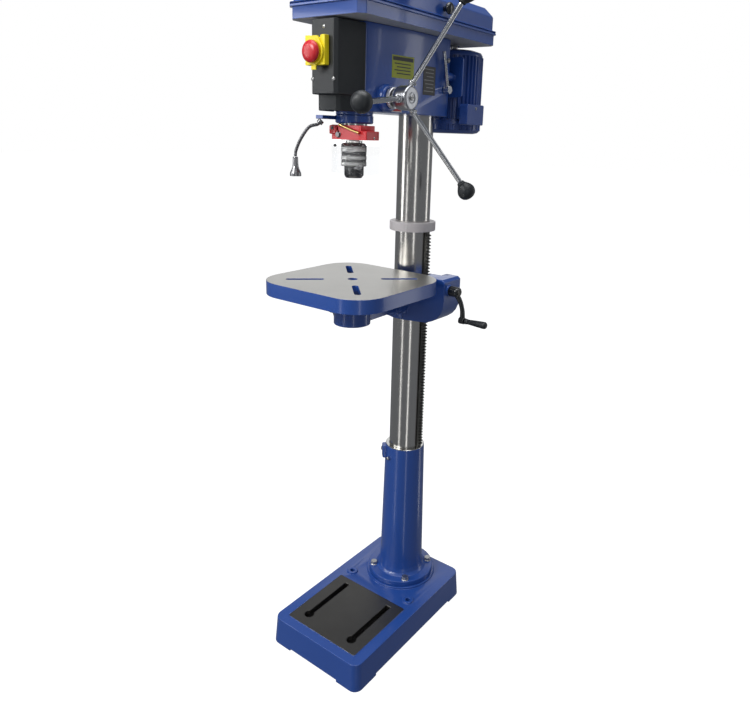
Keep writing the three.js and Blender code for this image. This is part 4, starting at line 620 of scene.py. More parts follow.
def table_faces(centres, normals):
    """1 on the ground top, 0 on the enamelled skirt and ribs."""
    return (centres[:, 2] > table_high[2] - 0.0002) & (normals[:, 2] > 0.9)


worked_casting("work_table", [ENAMEL, TABLE_IRON], 0.9 * MM, paint_faces=table_faces)
for node, finish, edge in (("table_bracket", ENAMEL, 1.6), ("table_arm", ENAMEL, 1.6), ("rack", DARK_IRON, 0.35),
                           ("lift_gear", DARK_IRON, 0.3), ("worm_shaft", DARK_IRON, 0.5)):
    worked_casting(node, finish, edge * MM)
tilt_low, tilt_high = corners("tilt_bolt")
tilt_seat = (0, tilt_low[1] + 0.0102, middle("tilt_bolt")[2])
hex_head("tilt_bolt_head", "bracket", "dark_steel", tilt_seat, (0, -1, 0), 0.0148, 0.0100, DARK_IRON, washer=False)
round_piece("tilt_bolt_shank", "tilt_bolt", [(0.0088, 0), (0.0088, tilt_high[1] - tilt_seat[1])], tilt_seat,
            (0, 1, 0), DARK_IRON, 40)
print("table at", np.round(TABLE_CENTRE, 3).tolist())

# %% [markdown]
# The crank is a flat bar bent twice, so a flattened ring is carried along its path. Lock handles are a hub, a thin
# arm and a ball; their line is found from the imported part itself, because each stands at its own angle.


# %% Crank and lock handles
def main_line(node):
    """The unit direction in which a part is longest, from the largest spread of its vertices, and its middle."""
    co = vertices_of(node)
    centre = (co.min(0) + co.max(0)) / 2
    return np.linalg.svd(co - co.mean(0), full_matrices=False)[2][0], centre


hub_x = corners("table_crank")[0][0]
_, cy, cz = JOINTS["crank_turn"]["pos_m"]
crank_hub = [(0.0093, 0.001), (0.0093, 0), (0.0138, 0), (0.0138, 0.020), (0.0120, 0.0265), (0.0055, 0.0272)]
round_piece("crank_hub", "table_crank", crank_hub, (hub_x, cy, cz), (1, 0, 0), BLACK_GLOSS, 64, soft=1.5 * MM)
CRANK_BENDS = [(0.014, 0.004), (0.0235, 0.012), (0.0325, 0.026), (0.0385, 0.044), (0.0400, 0.062), (0.0400, 0.0795)]
crank_path = smooth_path([(hub_x + out, cy, cz - down) for out, down in CRANK_BENDS], 48)
width = np.interp(np.linspace(0, 1, 48), [0, 0.06, 0.5, 0.9, 1], [0.0060, 0.0085, 0.0072, 0.0088, 0.0060])
shaped("crank_arm", swept_grid(crank_path, width, 32, 0.72), "crank", BLACK_GLOSS, "black_plastic")
round_piece("crank_eye", "table_crank", [(0.004, 0), (0.0088, 0), (0.0088, 0.0148), (0.004, 0.0150)],
            (hub_x + 0.032, cy, cz - 0.072), (1, 0, 0), BLACK_GLOSS, 48, extra=True, soft=1.2 * MM)
grip_low, grip_high = corners("crank_grip")
grip_len = grip_high[0] - grip_low[0]
grip_shape = [(0.0035, 0), (0.0070, 0), (0.0078, 0.004), (0.0064, 0.010), (0.0068, 0.016), (0.0080, 0.032),
              (0.0093, grip_len - 0.010), (0.0092, grip_len - 0.004), (0.0060, grip_len - 0.0005), (0.002, grip_len)]
grip_at = (grip_low[0], *middle("crank_grip")[1:])
round_piece("crank_handle_grip", "crank_grip", grip_shape, grip_at, (1, 0, 0), BLACK, 64, soft=2.5 * MM)


def lock_handle(node, body):
    """Hub about X, a thin arm and a ball end, on the line from the joint to the far end of the part."""
    co = vertices_of(node)
    joint = np.array(JOINTS[node.replace("_handle", "")]["pos_m"])
    off = np.hypot(*(co - joint)[:, 1:].T)
    end = co[off > off.max() - 0.012].mean(0)
    outer = co[:, 0].min()
    round_piece(node + "_hub", node, [(0.004, 0), (0.0100, 0), (0.0100, 0.0158), (0.006, 0.0162)],
                (outer, joint[1], joint[2]), (1, 0, 0), BLACK_GLOSS, 48, soft=1.5 * MM)
    root = np.array([end[0], joint[1], joint[2]])
    path = smooth_path([root, 0.5 * (root + end), end], 24)
    thin = np.interp(np.linspace(0, 1, 24), [0, 1], [0.0052, 0.0042])
    shaped(node + "_arm", swept_grid(path, thin, 20), body, BLACK_GLOSS, SLOT_OF[node])
    s = np.linspace(0.02, math.pi - 0.02, 24)
    ball = np.stack([0.0088 * np.sin(s), -0.0088 * np.cos(s)], 1)
    shaped(node + "_ball", turned_grid(ball, end, end - root, 40), body, BLACK_GLOSS, SLOT_OF[node])
    round_piece(node + "_shank", node, [(0.0058, 0), (0.0058, co[:, 0].max() - outer - 0.016)],
                (outer + 0.0158, joint[1], joint[2]), (1, 0, 0), BOLT_STEEL, 32, extra=True)


lock_handle("column_lock_handle", "column_lock")
lock_handle("table_lock_handle", "table_lock")
print(len(PIECES), "pieces so far")

# %% [markdown]
# ## The head
# The head is a long box casting with the quill at its nose and the column through its tail. A black moulded cover
# closes the front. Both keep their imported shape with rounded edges; the screws, plates and slots that a maker
# fits afterwards are small pieces of their own.

# %% Head casting, front cover and nose
worked_casting("head_casting", ENAMEL, 2.0 * MM)
worked_casting("front_cover", BLACK, 2.0 * MM)
worked_casting("quill_nose", ENAMEL, 1.0 * MM)
head_high = corners("head_casting")[1]
COVER_FACE = corners("front_cover")[0][1]


def pan_screw(name, node, spot, way, radius=0.0042, material=None):
    """A domed screw head with a cross slot pressed in: height = 1 - 0.75 (r / R)^2, less inside the slot."""
    r = np.linspace(1, 0.04, 9)
    profile = [(radius, -0.002)] + [(radius * q, 0.0022 * (1 - 0.75 * q * q)) for q in r]
    grid = turned_grid(profile, spot, way, 40)
    d, e1, e2 = across(way)
    local = grid - np.array(spot)
    u, v = local @ e1, local @ e2
    slot = (np.minimum(np.abs(u), np.abs(v)) < 0.16 * radius) & (np.hypot(u, v) < 0.68 * radius)
    grid = grid - (0.0009 * slot)[..., None] * d
    return shaped(name, grid, BODY_OF[node], material or BOLT_STEEL, "column_steel")


for n, (sx, sz) in enumerate(((-0.030, 1.503), (0.030, 1.503), (0.003, 1.608))):
    pan_screw(f"cover_screw_{n + 1}", "front_cover", (sx, COVER_FACE + 0.0004, sz), (0, -1, 0))
print("cover face at y =", round(float(COVER_FACE), 4))


# %% [markdown]
# Plates and labels on the side of the head lie on a wall that is not quite square to the machine. The wall's own
# line is found from two corners of the casting, and each plate is a thin cushion laid on it: a grid whose height
# rises at once from its rim, z = t (1 - max(|u|, |v|)^24). Plain bars stand for printed lines; nothing is written.

# %% Side plates
WALL_A, WALL_B, WALL_C = np.array([0.0500, -0.264]), np.array([0.0650, -0.120]), np.array([0.0680, 0.030])


def wall_point(y, z, off=0.0):
    """A point on the right wall of the head at a given y, moved outwards by `off`."""
    a, b = (WALL_A, WALL_B) if y < WALL_B[1] else (WALL_B, WALL_C)
    share = (y - a[1]) / (b[1] - a[1])
    tangent = (b - a) / np.linalg.norm(b - a)
    normal = np.array([tangent[1], -tangent[0]])
    spot = a + share * (b - a) + off * normal
    return np.array([spot[0], spot[1], z]), np.array([*normal, 0]), np.array([*tangent, 0])


def plate(name, y, z, size, thick, material, slot="black_plastic", side=24, lift=0.0):
    """A thin plate or label on the right wall, centred on (y, z)."""
    spot, out, along = wall_point(y, z, lift)
    u = np.linspace(-1, 1, side)
    u = np.sign(u) * np.abs(u) ** 0.35
    uu, vv = np.meshgrid(u, u, indexing="ij")
    rise = thick * (1 - np.maximum(np.abs(uu), np.abs(vv)) ** 24)
    top = spot + (uu * size[0] / 2)[..., None] * along + (vv * size[1] / 2)[..., None] * np.array([0, 0, 1.0])
    top = top + rise[..., None] * out
    index = np.arange(side * side).reshape(side, side)
    faces = np.stack([index[:-1, :-1], index[1:, :-1], index[1:, 1:], index[:-1, 1:]], -1).reshape(-1, 4).tolist()
    edge = np.concatenate([index[0, :-1], index[:-1, -1], index[-1, :0:-1], index[:0:-1, 0]])
    points = top.reshape(-1, 3)
    back = points[edge] - 0.0006 * out
    n = len(points)
    m = len(edge)
    faces += [[edge[i], edge[(i + 1) % m], n + (i + 1) % m, n + i] for i in range(m)]
    faces.append([n + i for i in range(m)])
    return place(name, outward_mesh(name, np.vstack([points, back]), faces, merge=0), "stand", material, slot)


YELLOW_LABEL = skin("olive yellow label", (0.36, 0.40, 0.028), (0.31, 0.35, 0.024), 0.4, 0.05, 30, 500, 0.03)
DARK_INK = skin("dark ink", (0.02, 0.022, 0.02), (0.03, 0.03, 0.03), 0.45, 0.05, 30, 500, 0.02)
PALE_INK = skin("pale ink", (0.22, 0.22, 0.22), (0.18, 0.18, 0.18), 0.45, 0.05, 30, 500, 0.02)
RED_LABEL = skin("red label", (0.50, 0.025, 0.03), (0.44, 0.02, 0.026), 0.4, 0.05, 30, 500, 0.03)
WHITE_LABEL = skin("white label", (0.75, 0.75, 0.74), (0.68, 0.68, 0.68), 0.4, 0.05, 30, 500, 0.03)

plate("yellow_label", -0.147, 1.5435, (0.076, 0.050), 0.0005, YELLOW_LABEL, "yellow_plastic")
plate("yellow_label_head", -0.147, 1.5610, (0.070, 0.0085), 0.0003, DARK_INK, lift=0.0004)
for n in range(4):
    short = n % 2
    plate(f"yellow_label_line_{n + 1}", -0.149 + 0.004 * short, 1.5505 - 0.0072 * n, (0.058 - 0.008 * short, 0.0026),
          0.0003, DARK_INK, side=8, lift=0.0004)
plate("data_plate", -0.044, 1.5215, (0.052, 0.067), 0.0008, DARK_INK)
for n in range(7):
    short = n % 3
    plate(f"data_plate_line_{n + 1}", -0.044 + 0.002 * (short - 1), 1.5480 - 0.0085 * n,
          (0.042 - 0.006 * short, 0.0022), 0.0003, PALE_INK, side=8, lift=0.0007)
plate("red_label_border", -0.176, 1.4520, (0.056, 0.019), 0.0004, WHITE_LABEL, "collar_grey")
plate("red_label", -0.176, 1.4520, (0.052, 0.015), 0.0004, RED_LABEL, "red_plastic", lift=0.0003)
print("label line starts at", wall_point(-0.147, 1.54)[0].round(4))

# %% [markdown]
# ## Belt case and drive
# The case is pressed sheet: a shallow tray and a lid with sloping shoulders, so the bevel is wide on the lid and
# narrow on the seam. Pulleys and belts hide inside until the lid is lifted.

# %% Belt case, pulleys and belts
# Low faces of the case that point down get the pale grey: painted light from the floor below; the rest keeps the blue
# enamel.
worked_casting("belt_housing", [ENAMEL, BOUNCE_LIGHT_PAINT], 1.0 * MM,
               paint_faces=lambda c, n: (n[:, 2] < -0.9) & (c[:, 2] < head_high[2] + 0.002) & (c[:, 2] < 1.632))
worked_casting("belt_cover", ENAMEL, 2.6 * MM)
for node in ("front_belt", "rear_belt"):
    worked_casting(node, RUBBER, 0.5 * MM)

STEP_H = 0.012
GROOVE = 0.0062


def stepped_pulley(node, radii, bore, centre, low_z):
    """Four V-grooved steps: each step's rim is straight for 1 mm, then falls to the groove's root and back."""
    shape = [(bore, low_z), (radii[0] - 0.0015, low_z)]
    for i, r in enumerate(radii):
        z = low_z + i * STEP_H
        shape += [(r - 0.0004, z + 0.0004), (r, z + 0.0010), (r, z + 0.0016), (r - GROOVE, z + 0.0048),
                  (r - GROOVE, z + 0.0072), (r, z + 0.0104), (r, z + 0.0114), (r - 0.0004, z + 0.0118)]
    shape += [(bore, low_z + 4 * STEP_H)]
    round_piece(node + "_turned", node, shape, (centre[0], centre[1], 0), material=ALLOY, sides=96, ring=True)


pulley_low = corners("spindle_pulley")[0][2]
STEPS = [0.034, 0.043, 0.052, 0.061]
for node, radii, bore in (("spindle_pulley", STEPS[::-1], 0.0123), ("idler_pulley", STEPS, 0.0098),
                          ("motor_pulley", [0.016, 0.021, 0.026, 0.031], 0.0089)):
    stepped_pulley(node, radii, bore, middle(node), pulley_low)
motor_axis = middle("motor_pulley")
motor_low, motor_high = corners("motor_pulley")
round_piece("motor_shaft", "motor_pulley", [(0.0088, motor_low[2]), (0.0088, motor_high[2] - 0.001),
            (0.0078, motor_high[2])], (motor_axis[0], motor_axis[1], 0), material=BOLT_STEEL, sides=48, extra=True)
knob_at = (corners("lid_knob")[0][0], *middle("lid_knob")[1:])
knob_shape = [(0.0038, 0), (0.0040, 0.0088), (0.0062, 0.0092), (0.0064, 0.0110), (0.0060, 0.0130), (0.0085, 0.0170),
              (0.0128, 0.0200), (0.0139, 0.0245), (0.0120, 0.0290), (0.0060, 0.0308), (0.001, 0.0310)]
round_piece("lid_knob_turned", "lid_knob", knob_shape, knob_at, (1, 0, 0), BLACK_GLOSS, 64, soft=1.5 * MM)
hinge_at = np.array(JOINTS["cover_hinge"]["pos_m"])
for n, hy in enumerate((-0.190, 0.055)):
    for part, (body, y0, y1) in enumerate((("cover", -0.020, 0.0), ("stand", 0.0004, 0.020))):
        leaf = [(0.0008, y0), (0.0026, y0), (0.0028, y0 + 0.0004), (0.0028, y1 - 0.0004), (0.0026, y1), (0.0008, y1)]
        spot = hinge_at * [1, 0, 1] + [0.0008, hy, 0]
        shaped(f"lid_hinge_{n + 1}_{part + 1}", turned_grid(leaf, spot, (0, 1, 0), 24), body, BOLT_STEEL,
               "column_steel")
print("lid rises to", round(float(corners("belt_cover")[1][2]), 4))

# %% [markdown]
# ## Motor
# The motor's shell is an extrusion with cooling fins: its radius swings between a root and a crest many times round
# the axis. Raising a cosine to a small power makes the crests narrow and the valleys wide, as cast fins are.

# %% Motor
shell_low, shell_high = corners("motor_body")
fan_low, fan_high = corners("fan_cover")
mx, my = middle("fan_cover")[:2]
MOTOR_R, FIN_ROOT, FIN_COUNT = 0.0808, 0.0755, 40
FIN_SIDES = FIN_COUNT * 10


def finned(r, h, a):
    """Between the end rings: root + (crest - root) x smooth(cos(fins a)); at the front foot and the ends, plain."""
    wave = 0.5 + 0.5 * np.cos(FIN_COUNT * a)
    fins = FIN_ROOT + (MOTOR_R - FIN_ROOT) * np.clip((wave - 0.35) / 0.4, 0, 1)
    return np.where(r > 0.0790, fins, r + 0 * a)


shell_foot, shell_top = shell_low[2], shell_high[2]
shell = [(0.0093, shell_foot + 0.1), (0.0093, shell_top), (0.060, shell_top), (0.0745, shell_top - 0.005),
         (0.0785, shell_top - 0.012), (0.0785, shell_top - 0.016), (0.0800, shell_top - 0.0165),
         (0.0800, shell_foot + 0.0045), (0.0785, shell_foot + 0.004), (0.0785, shell_foot), (0.02, shell_foot),
         (0.0093, shell_top - 0.06)]
round_piece("motor_shell", "motor_body", shell, (mx, my, 0), material=MOTOR_ENAMEL, sides=FIN_SIDES, ring=True,
            radius_of=finned)
plate_low, plate_high = corners("motor_plate")


def cushion_block(name, low, high, body, material, slot, power=0.22, rows=9, sides=48, axis=2):
    """A block with every edge rounded: the section is a superellipse, and it shrinks by 1 - 0.06 |t|^8 towards both
    ends of its axis, where t runs from -1 to 1."""
    low, high = np.array(low), np.array(high)
    ring = power_ring(sides, power)
    t = np.sin(np.linspace(-math.pi / 2, math.pi / 2, rows))
    t = np.sign(t) * np.abs(t) ** 0.4
    u, v = [k for k in range(3) if k != axis]
    half, mid = (high - low) / 2, (high + low) / 2
    fade = 1 - 0.06 * np.abs(t) ** 8
    grid = np.empty((rows, sides, 3))
    grid[..., axis] = (mid[axis] + t * half[axis])[:, None]
    grid[..., u] = mid[u] + half[u] * fade[:, None] * ring[:, 0]
    grid[..., v] = mid[v] + half[v] * fade[:, None] * ring[:, 1]
    shaped(name, grid, body, material, slot)


cushion_block("motor_foot", (mx - 0.062, plate_high[1] + 0.0003, plate_low[2] + 0.012),
              (mx + 0.062, my - 0.050, plate_high[2] - 0.012), "motor", MOTOR_ENAMEL, "motor_enamel")
box_low, box_high = corners("terminal_box")
cushion_block("terminal_seat", (mx + 0.060, box_low[1] + 0.020, box_low[2] + 0.014),
              (box_low[0] - 0.0002, box_high[1], box_high[2] - 0.006), "motor", MOTOR_ENAMEL, "motor_enamel", axis=0)
LOUVRES = 28


def louvred(r, h, a):
    """The cover's wall dips by 2.2 mm in narrow upright windows between two heights."""
    window = 1 / (1 + np.exp(-14 * (np.cos(LOUVRES * a) - 0.35)))
    band = np.clip((h - (fan_low[2] + 0.0095)) / 0.001, 0, 1) * np.clip(((fan_high[2] - 0.010) - h) / 0.001, 0, 1)
    return r - 0.0022 * window * band


fan_r = fan_high[0] - mx
cup = [(0.010, fan_low[2] + 0.0003), (fan_r - 0.020, fan_low[2]), (fan_r - 0.008, fan_low[2] + 0.0025),
       (fan_r - 0.0018, fan_low[2] + 0.0080), (fan_r, fan_low[2] + 0.0090), (fan_r, fan_low[2] + 0.0108),
       (fan_r, fan_low[2] + 0.0150), (fan_r, fan_low[2] + 0.0200), (fan_r, fan_high[2] - 0.0112),
       (fan_r, fan_high[2] - 0.0092), (fan_r, fan_high[2] - 0.0006), (fan_r - 0.0008, fan_high[2])]
round_piece("fan_cowl", "fan_cover", cup, (mx, my, 0), material=MOTOR_ENAMEL, sides=LOUVRES * 12, radius_of=louvred,
            soft=0.6 * MM)
worked_casting("terminal_box", MOTOR_ENAMEL, 1.6 * MM)
screw_at = (box_high[0] + 0.0002, middle("terminal_box")[1], box_high[2] - 0.010)
pan_screw("terminal_screw", "terminal_box", screw_at, (1, 0, 0), 0.0038)
worked_casting("motor_plate", ENAMEL, 1.2 * MM)
for n, (px, pz) in enumerate(((-0.075, 1.503), (-0.075, 1.575), (0.075, 1.503), (0.075, 1.575))):
    hex_head(f"motor_nut_{n + 1}", "motor", "column_steel", (px, plate_low[1], pz), (0, -1, 0), 0.0058, 0.0026,
             domed=True)
print("motor axis at", np.round([mx, my], 4).tolist(), "with", FIN_COUNT, "fins")
worked_casting("tension_lever", CHROME, 0.5 * MM)

# %% [markdown]
# ## Feed handles
# Three rods screw into a chromed hub and lean outwards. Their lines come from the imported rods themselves: the
# longest spread of each rod's points is its direction. The knobs are turned on the same lines.

# %% Hub, rods and knobs
_, py, pz = PINION_LINE
hub_low, hub_high = corners("feed_hub")
face_x = hub_high[0]
hub_profile = [(0.0088, hub_low[0] + 0.0005), (0.0088, 0.0850), (0.0200, 0.0850), (0.0205, 0.0868),
               (0.0250, 0.0945), (0.0268, 0.1005), (0.0268, face_x - 0.0040), (0.0250, face_x - 0.0010),
               (0.0225, face_x), (0.0120, face_x), (0.0100, face_x - 0.0012), (0.002, face_x - 0.0012)]
HUB_STEEL = turned_metal("satin hub steel", (0.42, 0.43, 0.45), (0.35, 0.36, 0.38), 0.30, PINION_LINE, "x",
                         900, 900)
round_piece("feed_hub_turned", "feed_hub", hub_profile, (0, py, pz), (1, 0, 0), HUB_STEEL, 128, soft=1.6 * MM)
round_piece("hub_screw", "feed_hub", [(0.0058, 0), (0.0058, 0.0022), (0.0046, 0.0030), (0.0030, 0.0030),
            (0.0028, 0.0012)], (face_x - 0.0014, py, pz), (1, 0, 0), BOLT_STEEL, 48, extra=True, soft=0.5 * MM)
ROD_R, NUT_R = 0.0060, 0.0098


def rod_nut(r, h, a):
    """A hexagon where the profile is widest, never wider than its cone; plain elsewhere."""
    return np.where(r > 0.0090, np.minimum(hexagon(NUT_R + 0 * r, h, a), r + 0.0004), r + 0 * a)


for i in (1, 2, 3):
    line, centre = main_line(f"feed_rod_{i}")
    along = (vertices_of(f"feed_rod_{i}") - centre) @ line
    tip_side = centre + line * along.max() - PINION_LINE
    if tip_side[1:] @ (centre - PINION_LINE)[1:] < 0:
        line = -line
    outward = (vertices_of(f"feed_rod_{i}") - centre) @ line
    root, tip = centre + outward.min() * line, centre + outward.max() * line
    length = np.linalg.norm(tip - root)
    rod_shape = [(0.0035, 0.0004), (ROD_R - 0.0004, 0.0006), (ROD_R, 0.0020), (ROD_R, length - 0.006),
                 (ROD_R - 0.0008, length - 0.0008), (0.003, length - 0.0004)]
    round_piece(f"feed_rod_{i}_bar", f"feed_rod_{i}", rod_shape, root, line, CHROME, 48, soft=0.5 * MM)
    collar = [(ROD_R, 0), (0.0085, 0.0002), (0.0092, 0.0012), (0.0092, 0.0058), (0.0084, 0.0070), (ROD_R, 0.0072)]
    round_piece(f"feed_nut_{i}", f"feed_rod_{i}", collar, root + 0.0165 * line, line, CHROME, 48, extra=True,
                radius_of=rod_nut)
    knob_co = (vertices_of(f"feed_knob_{i}") - root) @ line
    start, end = knob_co.min(), knob_co.max()
    span = end - start
    knob = [(0.004, 0), (0.0088, 0), (0.0094, 0.05), (0.0098, 0.10), (0.0140, 0.22), (0.0190, 0.38), (0.0214, 0.52),
            (0.0217, 0.62), (0.0205, 0.76), (0.0172, 0.88), (0.0118, 0.965), (0.0050, 0.996), (0.001, 1.0)]
    placed = [(r, start + h * span) for r, h in knob]
    round_piece(f"feed_knob_{i}_ball", f"feed_knob_{i}", placed, root, line, BLACK, 72, soft=3.0 * MM)
print("rod length", round(float(length), 4), "m")

# %% Depth ring, spring housing and pinion boss
ring_low, ring_high = corners("depth_ring")
ring_r = (ring_high[2] - ring_low[2]) / 2


def graduated(r, h, a):
    """Fine cuts across the rim: r drops by 0.5 mm wherever cos(40 a) is near 1."""
    cuts = np.clip((np.cos(40 * a) - 0.86) / 0.08, 0, 1)
    return np.where(r > ring_r - 0.0012, r - 0.0005 * cuts, r + 0 * a)


RING_SATIN = turned_metal("satin alloy ring", (0.74, 0.74, 0.75), (0.64, 0.64, 0.66), 0.34, PINION_LINE, "x",
                          900, 900)
ring_profile = [(0.0095, ring_low[0]), (ring_r - 0.0008, ring_low[0]), (ring_r, ring_low[0] + 0.0008),
                (ring_r, ring_high[0] - 0.0012), (ring_r - 0.0012, ring_high[0]), (0.0095, ring_high[0])]
boss = [(0.0100, 0.0400), (0.0310, 0.0400), (0.0310, 0.0600), (0.0300, 0.0668), (0.0265, 0.0708), (0.0225, 0.0720),
        (0.0100, 0.0720)]
round_piece("pinion_boss", "head_casting", boss, (0, py, pz), (1, 0, 0), ENAMEL, 96, ring=True, extra=True)
round_piece("depth_ring_turned", "depth_ring", ring_profile, (0, py, pz), (1, 0, 0), RING_SATIN, 480, ring=True,
            radius_of=graduated)
spring_low, spring_high = corners("spring_housing")
spring_r = (spring_high[2] - spring_low[2]) / 2
outer, inner = spring_low[0], spring_high[0]
spring_profile = [(0.0095, inner - 0.006), (0.0095, inner), (spring_r - 0.001, inner), (spring_r, inner - 0.001),
                  (spring_r, outer + 0.004), (spring_r - 0.002, outer + 0.0012), (spring_r - 0.006, outer),
                  (0.014, outer), (0.013, outer + 0.002), (0.001, outer + 0.002)]
round_piece("spring_cup", "spring_housing", spring_profile, (0, py, pz), (1, 0, 0), BLACK, 96, soft=1.2 * MM)
hex_head("spring_nut", "stand", "column_steel", (spring_low[0] + 0.0025, py, pz), (-1, 0, 0), 0.0088, 0.0025)
print("spring housing from x =", spring_low[0].round(4))

# %% [markdown]
# ## Quill, spindle and chuck
# A keyed chuck has knurled bands so that a hand can turn it. A knurl is two sets of crossed grooves: the radius
# drops along both families of lines, r = R - d (1 - min(|sin(n a / 2 + k h)|, |sin(n a / 2 - k h)|)). It needs a
# fine grid, but only on the bands.

# %% Quill, spindle and chuck
worked_casting("quill", SPINDLE_STEEL, 0.4 * MM)
sx, sy, _ = SPINDLE_LINE
spindle_low, spindle_high = corners("spindle")
body_low, body_high = corners("chuck_body")
sleeve_low, sleeve_high = corners("chuck_sleeve")
quill_low = corners("quill")[0]
SP_R = 0.012
spindle_shape = [(0.004, spindle_low[2]), (SP_R - 0.001, spindle_low[2]), (SP_R - 0.0002, body_high[2]),
                 (SP_R, body_high[2] + 0.0003), (0.0198, body_high[2] + 0.0005), (0.0198, quill_low[2] - 0.0012),
                 (SP_R, quill_low[2] - 0.0010), (SP_R, spindle_high[2] - 0.0015), (SP_R - 0.0015, spindle_high[2])]
round_piece("spindle_shaft", "spindle", spindle_shape, (sx, sy, 0), material=SPINDLE_STEEL, sides=64, soft=0.4 * MM)
CHUCK_R = (body_high[0] - body_low[0]) / 2 - 0.0001
KNURLS, PITCH = 72, 0.0034


def knurl(*bands):
    """A radius function that cuts crossed grooves between pairs of heights."""
    def radius(r, h, a):
        inside = sum(np.clip((h - low) / 0.0004, 0, 1) * np.clip((high - h) / 0.0004, 0, 1) for low, high in bands)
        inside = inside * (r > CHUCK_R - 0.0008)
        k = math.pi / PITCH
        cross = np.minimum(np.abs(np.sin(KNURLS * a / 2 + k * h)), np.abs(np.sin(KNURLS * a / 2 - k * h)))
        return r - 0.0007 * inside * (1 - np.clip(cross / 0.75, 0, 1))
    return radius


split = body_low[2]
body_shape = [(0.0125, body_high[2] - 0.0002), (0.0230, body_high[2]), (0.0255, body_high[2] - 0.0006),
              (CHUCK_R - 0.0012, body_high[2] - 0.0050), (CHUCK_R, body_high[2] - 0.0062)]
band_a = (split + 0.0065, split + 0.0165)
body_shape += [(CHUCK_R, float(h)) for h in np.arange(band_a[1], band_a[0], -0.00042)]
body_shape += [(CHUCK_R, split + 0.0050), (CHUCK_R - 0.0014, split + 0.0046), (CHUCK_R - 0.0014, split + 0.0032),
               (CHUCK_R, split + 0.0028), (CHUCK_R - 0.0008, split), (0.0040, split), (0.0040, split + 0.0060),
               (0.0125, split + 0.0071)]
KNURLED_STEEL = turned_metal("dark chuck steel", (0.13, 0.13, 0.132), (0.08, 0.08, 0.082), 0.28, SPINDLE_LINE,
                             heights=1500, rings=1500, relief=0.1)
BRIGHT_BAND = turned_metal("bright chuck band", (0.34, 0.34, 0.335), (0.24, 0.24, 0.24), 0.3, SPINDLE_LINE,
                           heights=1500, rings=1500, relief=0.1)
CHUCK_FINISH = [KNURLED_STEEL, BRIGHT_BAND]
round_piece("chuck_shell", "chuck_body", body_shape[::-1], (sx, sy, 0), material=CHUCK_FINISH, sides=432, ring=True,
            radius_of=knurl(band_a))
top = sleeve_high[2]
step_z = sleeve_low[2] + 0.027
MOUTH_R = 0.0112
sleeve_shape = [(MOUTH_R, sleeve_low[2]), (0.0178, sleeve_low[2]), (0.0192, sleeve_low[2] + 0.0010),
                (0.0219, sleeve_low[2] + 0.0052), (0.0224, sleeve_low[2] + 0.0075), (0.0224, step_z - 0.0014),
                (0.0234, step_z), (CHUCK_R - 0.0010, step_z + 0.0004), (CHUCK_R, step_z + 0.0014)]
bands_b = [(step_z + 0.0022, step_z + 0.0100), (step_z + 0.0156, step_z + 0.0232)]
for low, high in bands_b:
    sleeve_shape += [(CHUCK_R - 0.0009, low - 0.0004)] if low > step_z + 0.01 else []
    sleeve_shape += [(CHUCK_R, float(h)) for h in np.arange(low, high, 0.00042)]
    sleeve_shape += [(CHUCK_R - 0.0009, high + 0.0003)]
sleeve_shape += [(CHUCK_R - 0.0010, top - 0.0008), (CHUCK_R - 0.0016, top), (0.0245, top)]
round_piece("chuck_turning_sleeve", "chuck_sleeve", sleeve_shape, (sx, sy, 0), material=CHUCK_FINISH, sides=432,
            ring=True, radius_of=knurl(*bands_b))
for name in ("chuck_shell", "chuck_turning_sleeve"):
    mesh = bpy.data.objects[name].data
    centres = np.array([f.center for f in mesh.polygons])
    out_r = np.hypot(centres[:, 0] - sx, centres[:, 1] - sy)
    cut = np.zeros(len(centres), bool)
    for low, high in (band_a, *bands_b):
        cut |= (centres[:, 2] > low) & (centres[:, 2] < high)
    mesh.polygons.foreach_set("material_index", (cut & (out_r > CHUCK_R - 0.0016)).astype(np.int32))
for i in (1, 2, 3):
    worked_casting(f"chuck_jaw_{i}", SPINDLE_STEEL, 0.5 * MM)
    turn = math.radians(90 + 120 * i)
    way = np.array([math.cos(turn), math.sin(turn), 0])
    key_hole = np.array([sx, sy, split + 0.0208]) + way * (CHUCK_R - 0.0003)
    round_piece(f"chuck_key_hole_{i}", "chuck_body", [(0.0036, -0.0020), (0.0036, 0.0002), (0.0030, 0.0003),
                (0.0026, -0.0012)], key_hole, way, DARK_IRON, 32, extra=True, soft=0.2 * MM)
print("chuck radius", round(float(CHUCK_R), 4))

# %% [markdown]
# ## Guard
# A red clamp holds a clear hood round the chuck. Clear plastic is a solid wall with transmission; its cut edges
# look brighter because light travels along the sheet.

# %% Guard clamp and shield
CLEAR = skin("clear polycarbonate", (0.965, 0.97, 0.975), (0.95, 0.96, 0.965), 0.03, 0.02, 9, 60, 0.0,
             Transmission_Weight=1.0, IOR=1.06, Specular_IOR_Level=0.5)
worked_casting("guard_clamp", RED, 1.6 * MM)
worked_casting("guard_shield", CLEAR, 0)
worked_casting("guard_wing_nut", GUN_STEEL, 0.8 * MM)
clamp_low, clamp_high = corners("guard_clamp")
bolt_z = clamp_low[2] + 0.011
FACE_Y = sy - 0.0382
hex_head("guard_bolt", "quill", "dark_steel", (-0.015, FACE_Y, bolt_z), (0, -1, 0), 0.0064, 0.0045, GUN_STEEL)
clamp_top = clamp_high[2]
pan_screw("guard_hinge_screw", "guard_clamp", (-0.033, clamp_low[1] - 0.0002, clamp_top - 0.0070), (0, -1, 0), 0.0042,
          GUN_STEEL)
pan_screw("guard_end_screw", "guard_clamp", (clamp_high[0] + 0.0002, sy - 0.010, clamp_low[2] + 0.0050), (1, 0, 0),
          0.0025, BOLT_STEEL)
pin_path = smooth_path([(-0.008, FACE_Y - 0.0045, clamp_top + 0.0005), (0.022, FACE_Y - 0.0050, clamp_top - 0.0085),
                        (0.050, FACE_Y - 0.0045, clamp_top - 0.0165)], 24)
pin_r = np.interp(np.linspace(0, 1, 24), [0, 0.08, 0.1, 0.9, 0.93, 1],
                  [0.0040, 0.0042, 0.0026, 0.0026, 0.0036, 0.0034])
